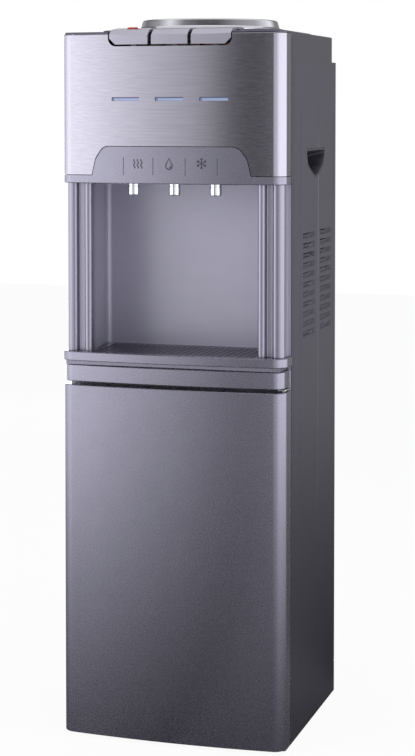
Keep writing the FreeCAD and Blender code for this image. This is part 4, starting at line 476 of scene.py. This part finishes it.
# Deep-drawn stainless of the tanks and the springs.
stainless = finish("stainless_drawn", ("#b4b6ba", "#9ea0a5"), 15, (0.2, 0.34), 1.2, 0.006, Metallic=1.0)
# Green solder mask of the lamp board.
solder_mask = finish("board_solder_mask", ("#1c5a34", "#256b40"), 6, (0.3, 0.4), 2.0, 0.004)
# Dark grey pad-printed ink of the pictograms.
print_ink = finish("printed_ink_dark_grey", ("#3d3b46", "#454350"), 5, (0.4, 0.5), 1.0, 0.002)

FINISH_OF_SLOT = {
    "panel_enamel": side_paint_and_painted_grille_shade,
    "zinc_sheet": zinc_sheet,
    "brushed_front": brushed_steel,
    "front_grey": grey_lacquer,
    "key_grey": key_lacquer,
    "black_plastic": black_abs,
    "red_plastic": red_abs,
    "light_plastic": white_pp,
    "white_rubber": seal_pvc,
    "black_rubber": black_rubber,
    "window_light": blue_acrylic,
    "circuit_board": solder_mask,
    "bright_chrome": chrome,
    "tap_plastic": white_pp,
    "stainless": stainless,
    "foam": foam,
    "copper": copper,
    "black_paint": black_enamel,
}
FINISH_OF_NODE = {
    "water_hoses": silicone,
    "grip_cups": dark_abs,
    # Painted shade: the grille takes the darker side paint for the shade between its holes.
    "drip_grille": side_paint_and_painted_grille_shade,
    # The alcove liner's lighter inner walls are painted light.
    "alcove_liner": alcove_grey_painted_light,
    "top_cover": dark_lacquer,
}


# ---------------------------------------------------------------- front mouldings

def door_skin():
    """The bowed door: round top and bottom edges, and a recess at the back for its inner panel."""
    bm, behind = bowed_block(DOOR_LOW, DOOR_HIGH, FRONT_DEPTH)
    wall = SHELL_WALL - RECESS_CLEARANCE
    bmesh.ops.inset_region(bm, faces=[behind], thickness=wall * MM, depth=0)
    bmesh.ops.translate(bm, verts=behind.verts, vec=Vector((0, -wall, 0)) * MM)
    round_edges(bm, level_rims(bm, FRONT_DEPTH - 1), DOOR_ROUND)
    return show("door_skin", bm, "door", grey_lacquer, ["door_outer"])


def band_skin():
    """The plain band above the door."""
    bm, _ = bowed_block(BAND_LOW, BAND_HIGH, FRONT_DEPTH + 2, -BAND_INSET)
    round_edges(bm, level_rims(bm, FRONT_DEPTH), BAND_ROUND)
    return show("band_skin", bm, "cabinet", grey_lacquer, ["front_band"])


def chrome_nozzles():
    """Three spouts with a rolled lower lip, a waist line and an open bore."""
    radius, bore, drop = 8, 4.5, 16
    low = APRON_LOW - drop
    waist, waist_depth = low + 12.4, 0.4
    profile = [
        (bore, low + 1), (bore + 0.9, low), (radius, low), (radius, waist - 2 * waist_depth),
        (radius - waist_depth, waist - waist_depth), (radius - waist_depth, waist + waist_depth),
        (radius, waist + 2 * waist_depth), (radius, APRON_LOW), (bore, APRON_LOW),
    ]
    nozzles = [
        turned(profile, (place, TAP_FORWARD), {2: 1.6}, 64)
        for place in (-TAP_SPACING, 0, TAP_SPACING)
    ]
    return show("chrome_nozzles", joined(nozzles), "cabinet", chrome, ["tap_nozzles"])


def polished_collar():
    """The flared collar with its rolled foot and lip."""
    base, foot_height, height = PLATEAU_TOP, 3.5, 15.5
    seat_radius, foot_radius, flare_radius = 87.5, 104, 99
    lip_outer, lip_inner, throat = 95.5, 92, 93.5
    profile = [
        (seat_radius, base), (foot_radius, base), (foot_radius, base + foot_height),
        (flare_radius, base + foot_height + 1), (lip_outer, base + height), (lip_inner, base + height),
        (throat, base + foot_height), (seat_radius, base + foot_height),
    ]
    bm = turned(profile, (0, SEAT_BACK), {2: 1.4, 3: 1.5, 4: 1.7, 5: 1.7}, 128)
    return show("polished_collar", bm, "cabinet", chrome, ["seat_collar"])


# ---------------------------------------------------------------- printed marks

def drawn_line(name, strokes, width):
    """Round strokes of (x, z) points as thin raised print that follows the bow of the apron's tab."""
    curve = bpy.data.curves.new(name, "CURVE")
    curve.dimensions = "3D"
    curve.bevel_depth = width / 2 * MM
    curve.bevel_resolution = 2
    curve.use_fill_caps = True
    for points, closed in strokes:
        spline = curve.splines.new("POLY")
        spline.points.add(len(points) - 1)
        for point, (x, z) in zip(spline.points, points):
            point.co = (*at(x, 0, z), 1)
        spline.use_cyclic_u = closed
    holder = bpy.data.objects.new(name, curve)
    bpy.context.scene.collection.objects.link(holder)
    mesh = bpy.data.meshes.new_from_object(holder.evaluated_get(bpy.context.evaluated_depsgraph_get()))
    bpy.data.objects.remove(holder)
    bm = bmesh.new()
    bm.from_mesh(mesh)
    bpy.data.meshes.remove(mesh)
    for vert in bm.verts:
        across = vert.co.x / MM
        depth = (vert.co.y - at(0, 0, 0).y) / (width / 2 * MM)
        vert.co.y = at(0, bowed_y(across), 0).y + PRINT_RELIEF * depth * MM
    return bm


def arc(x, z, radius, start, end, steps=12):
    angles = [math.radians(start + (end - start) * step / steps) for step in range(steps + 1)]
    return [(x + radius * math.cos(angle), z + radius * math.sin(angle)) for angle in angles]


def steam_strokes(x, z):
    """Three waves side by side, rising from below a place."""
    column_pitch, sway, rise, foot = 5, 1.1, 0.75, 6
    return [
        ([
            (x + column + sway * math.sin(step * math.pi / 4), z - foot + rise * step)
            for step in range(17)
        ], False)
        for column in (-column_pitch, 0, column_pitch)
    ]


def drop_strokes(x, z):
    """A drop with its tip up, and a shine inside."""
    tip, belly, radius, shine = 7.5, 2.5, 4.6, 2.6
    outline = [(x, z + tip)] + arc(x, z - belly, radius, 35, -215, 20)
    return [(outline, True), (arc(x, z - belly, shine, -80, 10, 6), False)]


def flake_strokes(x, z):
    """A snowflake of six arms, each with two barbs."""
    arm, barb_place, barb, lean = 7.2, 4.2, 2.6, 38
    strokes = []
    for number in range(6):
        turn = 30 + 60 * number
        strokes.append(([(x, z), spoke(x, z, arm, turn)], False))
        for side in (-1, 1):
            root = spoke(x, z, barb_place, turn)
            strokes.append(([root, spoke(*root, barb, turn + side * lean)], False))
    return strokes


def spoke(x, z, length, degrees):
    angle = math.radians(degrees)
    return (x + length * math.cos(angle), z + length * math.sin(angle))


def pictograms():
    """Steam, drop and snowflake above the taps, each between two upright rules."""
    rules = [([(x, RULE_LOW), (x, RULE_HIGH)], False) for x in RULE_PLACES]
    marks = [
        drawn_line("steam", steam_strokes(STEAM_PLACE, PRINT_LEVEL), 1.5),
        drawn_line("drop", drop_strokes(0.0, PRINT_LEVEL), 1.6),
        drawn_line("flake", flake_strokes(FLAKE_PLACE, PRINT_LEVEL + 1), 1.5),
        drawn_line("rules", rules, 1.0),
    ]
    return show("pictograms", joined(marks), "cabinet", print_ink)


door_skin()
band_skin()
chrome_nozzles()
polished_collar()
pictograms()

# Width of the rounding on each node's sharp edges; 0 leaves them as pressed or folded.
SOFT_EDGES = {
    "front_panel": 0.4,
    "tap_apron": 0.4,
    "alcove_liner": 0.3,
    "drip_tray": 0.3,
    "drip_grille": 0.25,
    "key_hot": 0.6,
    "key_normal": 0.6,
    "key_cold": 0.6,
    "hot_lock": 0.25,
    "top_cover": 0.5,
    "grip_cups": 0.4,
    "side_panel_right": 0,
    "side_panel_left": 0,
    "indicator_windows": 0.2,
    "bottle_seat": 0.3,
    "bottle_probe": 0.3,
    "door_liner": 0.6,
    "door_gasket": 0.3,
    "cabinet_liner": 0,
    "rear_panel": 0,
    "base_pan": 0,
    "rubber_feet": 0.3,
    "compressor": 0,
    "compressor_mounts": 0.4,
    "relay_box": 0.3,
    "condenser": 0,
    "refrigerant_lines": 0,
    "switch_frame": 0.4,
    "rocker_heating": 0.3,
    "rocker_cooling": 0.3,
    "cord_gland": 0.4,
    "drain_spout": 0.2,
    "drain_cap": 0.3,
    "panel_screws": 0.2,
    "hinge_brackets": 0.2,
    "hinge_bushes": 0,
}
replaced = {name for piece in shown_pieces() for name in piece.get("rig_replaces", [])}
for node_name, node in frame["nodes"].items():
    if node_name in replaced:
        continue
    coat = FINISH_OF_NODE.get(node_name, FINISH_OF_SLOT[SLOT_OF[node_name]])
    if node_name in SOFT_EDGES:
        dressed(node_name, coat, SOFT_EDGES[node_name])
    else:
        node.data.materials.clear()
        node.data.materials.append(coat)


# ---------------------------------------------------------------- studio

# Lengths here are in metres, powers in watts and azimuths in degrees round the cooler: 0 is straight in
# front of it and 90 to its right.
MIDDLE = Vector((0, 0, 0.5))
FLOOR_SIZE = 12
WHITE_SHARE = 0.94
TENT_RADIUS, TENT_HEIGHT, TENT_LIFT, TENT_STEPS = 2.9, 3.4, 0.002, 72
TENT_POWER = 2.0
COOL_TINT = 1.03
EYE_LEVEL_TOP, HIGHER_UP_FROM = 1.3, 1.9
# The tent's brightness at azimuths, at eye level and higher up. The front's bow spreads the stretch
# from -34 to -7 over its width, and the round corner shows the rest of the right side.
EYE_LEVEL = (
    (-180, 0.14), (-168, 0.2), (-160, 1.3), (-142, 1.3), (-132, 0.3), (-80, 0.8), (-60, 1.0), (-34, 1.03),
    (-26, 0.68), (-19, 0.46), (-12, 0.34), (-9.5, 0.14), (-7.5, 0.035), (0, 0.05), (2, 0.42), (28, 0.5),
    (46, 0.85), (60, 0.95), (120, 0.95), (134, 0.8), (144, 0.2), (156, 0.12), (180, 0.14),
)
HIGHER_UP = (
    (-180, 0.1), (-125, 0.05), (-80, 0.2), (-57, 0.45), (-30, 0.12), (5, 0.03), (30, 0.03), (68, 0.16),
    (105, 0.22), (142, 0.5), (160, 0.12), (180, 0.1),
)


def around(azimuth, distance, height):
    """A place round the cooler."""
    angle = math.radians(azimuth)
    return Vector((distance * math.sin(angle), -distance * math.cos(angle), height))


def soft_lamp(name, place, size, power):
    """An area lamp aimed at the middle. It gives light but no mirror image, which is the tent's part."""
    light = bpy.data.lights.new(name, "AREA")
    light.shape = "RECTANGLE"
    light.size, light.size_y = size
    light.energy = power
    holder = bpy.data.objects.new(name, light)
    bpy.context.scene.collection.objects.link(holder)
    holder.location = place
    holder.rotation_mode = "QUATERNION"
    holder.rotation_quaternion = (MIDDLE - place).to_track_quat("-Z", "Y")
    holder.visible_glossy = False


def studio_paper():
    """White paper that glows white where the camera looks at it, and still takes a soft shadow."""
    material = finish("white_studio_paper", ("#f2f2f3", "#f5f5f6"), 400, (0.6, 0.7), 5.0, 0.001)
    tree = material.node_tree
    path = add(tree, "ShaderNodeLightPath")
    share = add(tree, "ShaderNodeMath", {0: (path, "Is Camera Ray"), 1: WHITE_SHARE}, operation="MULTIPLY")
    white = add(tree, "ShaderNodeEmission", {"Color": linear("#ffffff"), "Strength": 1.0})
    paper = add(tree, "ShaderNodeMixShader", {
        0: (share, "Value"), 1: (tree.nodes["Principled BSDF"], "BSDF"), 2: (white, "Emission"),
    })
    tree.links.new(paper.outputs["Shader"], tree.nodes["Material Output"].inputs["Surface"])
    return material


def studio_floor():
    """A flat sheet of paper under the cooler."""
    bm = bmesh.new()
    bmesh.ops.create_grid(bm, x_segments=1, y_segments=1, size=0.5)
    bmesh.ops.scale(bm, vec=(FLOOR_SIZE, FLOOR_SIZE, 1), verts=bm.verts)
    mesh = bpy.data.meshes.new("studio_floor")
    bm.to_mesh(mesh)
    bm.free()
    mesh.materials.append(studio_paper())
    card = bpy.data.objects.new("studio_floor", mesh)
    bpy.context.scene.collection.objects.link(card)


def brightness(tree, azimuth, stops):
    """Slightly cool grey levels by azimuth, from -180 to 180 degrees."""
    ramp = add(tree, "ShaderNodeValToRGB", {"Fac": azimuth})
    elements = ramp.color_ramp.elements
    for angle, level in stops[1:-1]:
        elements.new((angle + 180) / 360).color = (level, level, level * COOL_TINT, 1)
    for element, (_, level) in ((elements[0], stops[0]), (elements[-1], stops[-1])):
        element.color = (level, level, level * COOL_TINT, 1)
    return ramp


def tent_cloth():
    """Cloth that glows by azimuth and height, and darkens over the floor towards the cooler."""
    cloth = bpy.data.materials.new("tent_cloth")
    cloth.use_nodes = True
    cloth.cycles.emission_sampling = "NONE"
    tree = cloth.node_tree
    place = add(tree, "ShaderNodeTexCoord")
    parts = add(tree, "ShaderNodeSeparateXYZ", {0: (place, "Object")})
    ahead = add(tree, "ShaderNodeMath", {0: (parts, "Y"), 1: -1.0}, operation="MULTIPLY")
    angle = add(tree, "ShaderNodeMath", {0: (parts, "X"), 1: (ahead, "Value")}, operation="ARCTAN2")
    turn = add(tree, "ShaderNodeMapRange", {
        "Value": (angle, "Value"), "From Min": -math.pi, "From Max": math.pi,
    })
    low = brightness(tree, (turn, "Result"), EYE_LEVEL)
    high = brightness(tree, (turn, "Result"), HIGHER_UP)
    rise = add(tree, "ShaderNodeMapRange", {
        "Value": (parts, "Z"), "From Min": EYE_LEVEL_TOP, "From Max": HIGHER_UP_FROM,
    })
    wall = mixed(tree, (rise, "Result"), (low, "Color"), (high, "Color"))
    flat = add(tree, "ShaderNodeVectorMath", {0: (place, "Object"), 1: (1, 1, 0)}, operation="MULTIPLY")
    reach = add(tree, "ShaderNodeVectorMath", {0: (flat, "Vector")}, operation="LENGTH")
    fall = add(tree, "ShaderNodeMapRange", {
        "Value": (reach, "Value"), "From Min": 0.1, "From Max": TENT_RADIUS, "To Min": 0.06, "To Max": 1.0,
    })
    steep = add(tree, "ShaderNodeMath", {0: (fall, "Result"), 1: 1.35}, operation="POWER")
    lift = add(tree, "ShaderNodeMapRange", {
        "Value": (parts, "Z"), "From Min": 0.0, "From Max": 0.6,
        "To Min": 1.05 * TENT_POWER, "To Max": 1.15 * TENT_POWER,
    })
    strength = add(tree, "ShaderNodeMath", {0: (steep, "Value"), 1: (lift, "Result")}, operation="MULTIPLY")
    glow = add(tree, "ShaderNodeEmission", {"Color": (wall, MIX_COLOUR), "Strength": (strength, "Value")})
    tree.links.new(glow.outputs["Emission"], tree.nodes["Material Output"].inputs["Surface"])
    return cloth


def light_tent():
    """A round tent with light windows, which only mirror images show."""
    bm = bmesh.new()
    hub = bm.verts.new((0, 0, TENT_LIFT))
    edge = bm.verts.new((0, -TENT_RADIUS, TENT_LIFT))
    rim = bm.verts.new((0, -TENT_RADIUS, TENT_HEIGHT))
    bm.edges.new((hub, edge))
    bm.edges.new((edge, rim))
    bmesh.ops.spin(
        bm, geom=bm.verts[:] + bm.edges[:], cent=(0, 0, 0), axis=(0, 0, 1),
        angle=2 * math.pi, steps=TENT_STEPS, use_merge=True,
    )
    bmesh.ops.remove_doubles(bm, verts=bm.verts, dist=0.1 * MM)
    mesh = bpy.data.meshes.new("light_tent")
    bm.to_mesh(mesh)
    bm.free()
    mesh.materials.append(tent_cloth())
    tent = bpy.data.objects.new("light_tent", mesh)
    bpy.context.scene.collection.objects.link(tent)
    for ray in ("camera", "diffuse", "shadow", "transmission"):
        setattr(tent, "visible_" + ray, False)


def studio_world():
    """Plain grey light, which the camera, metal and glass see as white."""
    world = bpy.data.worlds.new("studio")
    world.use_nodes = True
    world.cycles.sampling_method = "NONE"
    tree = world.node_tree
    sky = tree.nodes["Background"]
    path = add(tree, "ShaderNodeLightPath")
    seen = add(tree, "ShaderNodeMath", {
        0: (path, "Is Camera Ray"), 1: (path, "Is Transmission Ray"),
    }, operation="MAXIMUM")
    shown = add(tree, "ShaderNodeMath", {
        0: (seen, "Value"), 1: (path, "Is Glossy Ray"),
    }, operation="MAXIMUM")
    glow = mixed(tree, (shown, "Value"), linear("#a9a9b0"), linear("#ffffff"))
    tree.links.new(glow.outputs[MIX_COLOUR], sky.inputs["Color"])
    sky.inputs["Strength"].default_value = 1.0
    bpy.context.scene.world = world


def photo_camera():
    """The photograph's view: from the right of the front at 0.85 m, a long lens from 2.6 m away."""
    camera = bpy.data.cameras.new("photo_view")
    camera.sensor_width = 36
    camera.lens = 90.14
    camera.shift_y = -0.2434
    camera.clip_start, camera.clip_end = 0.05, 30
    viewer = bpy.data.objects.new("photo_view", camera)
    bpy.context.scene.collection.objects.link(viewer)
    viewer.location = (0.7787, -2.5166, 0.8498)
    viewer.rotation_mode = "QUATERNION"
    viewer.rotation_quaternion = Vector((-0.29324, 0.95499, -0.04484)).to_track_quat("-Z", "Y")
    bpy.context.scene.camera = viewer


soft_lamp("left_softbox", around(-42, 1.9, 0.75), (1.1, 1.9), 20)
soft_lamp("right_strip", around(62, 1.5, 0.6), (0.28, 1.9), 5)
soft_lamp("top_softbox", Vector((0.1, -0.2, 2.4)), (1.4, 1.4), 20)
soft_lamp("rear_fill", around(150, 2.2, 0.9), (0.8, 1.6), 4)
studio_floor()
light_tent()
studio_world()
photo_camera()
bpy.context.scene.view_settings.view_transform = "Standard"
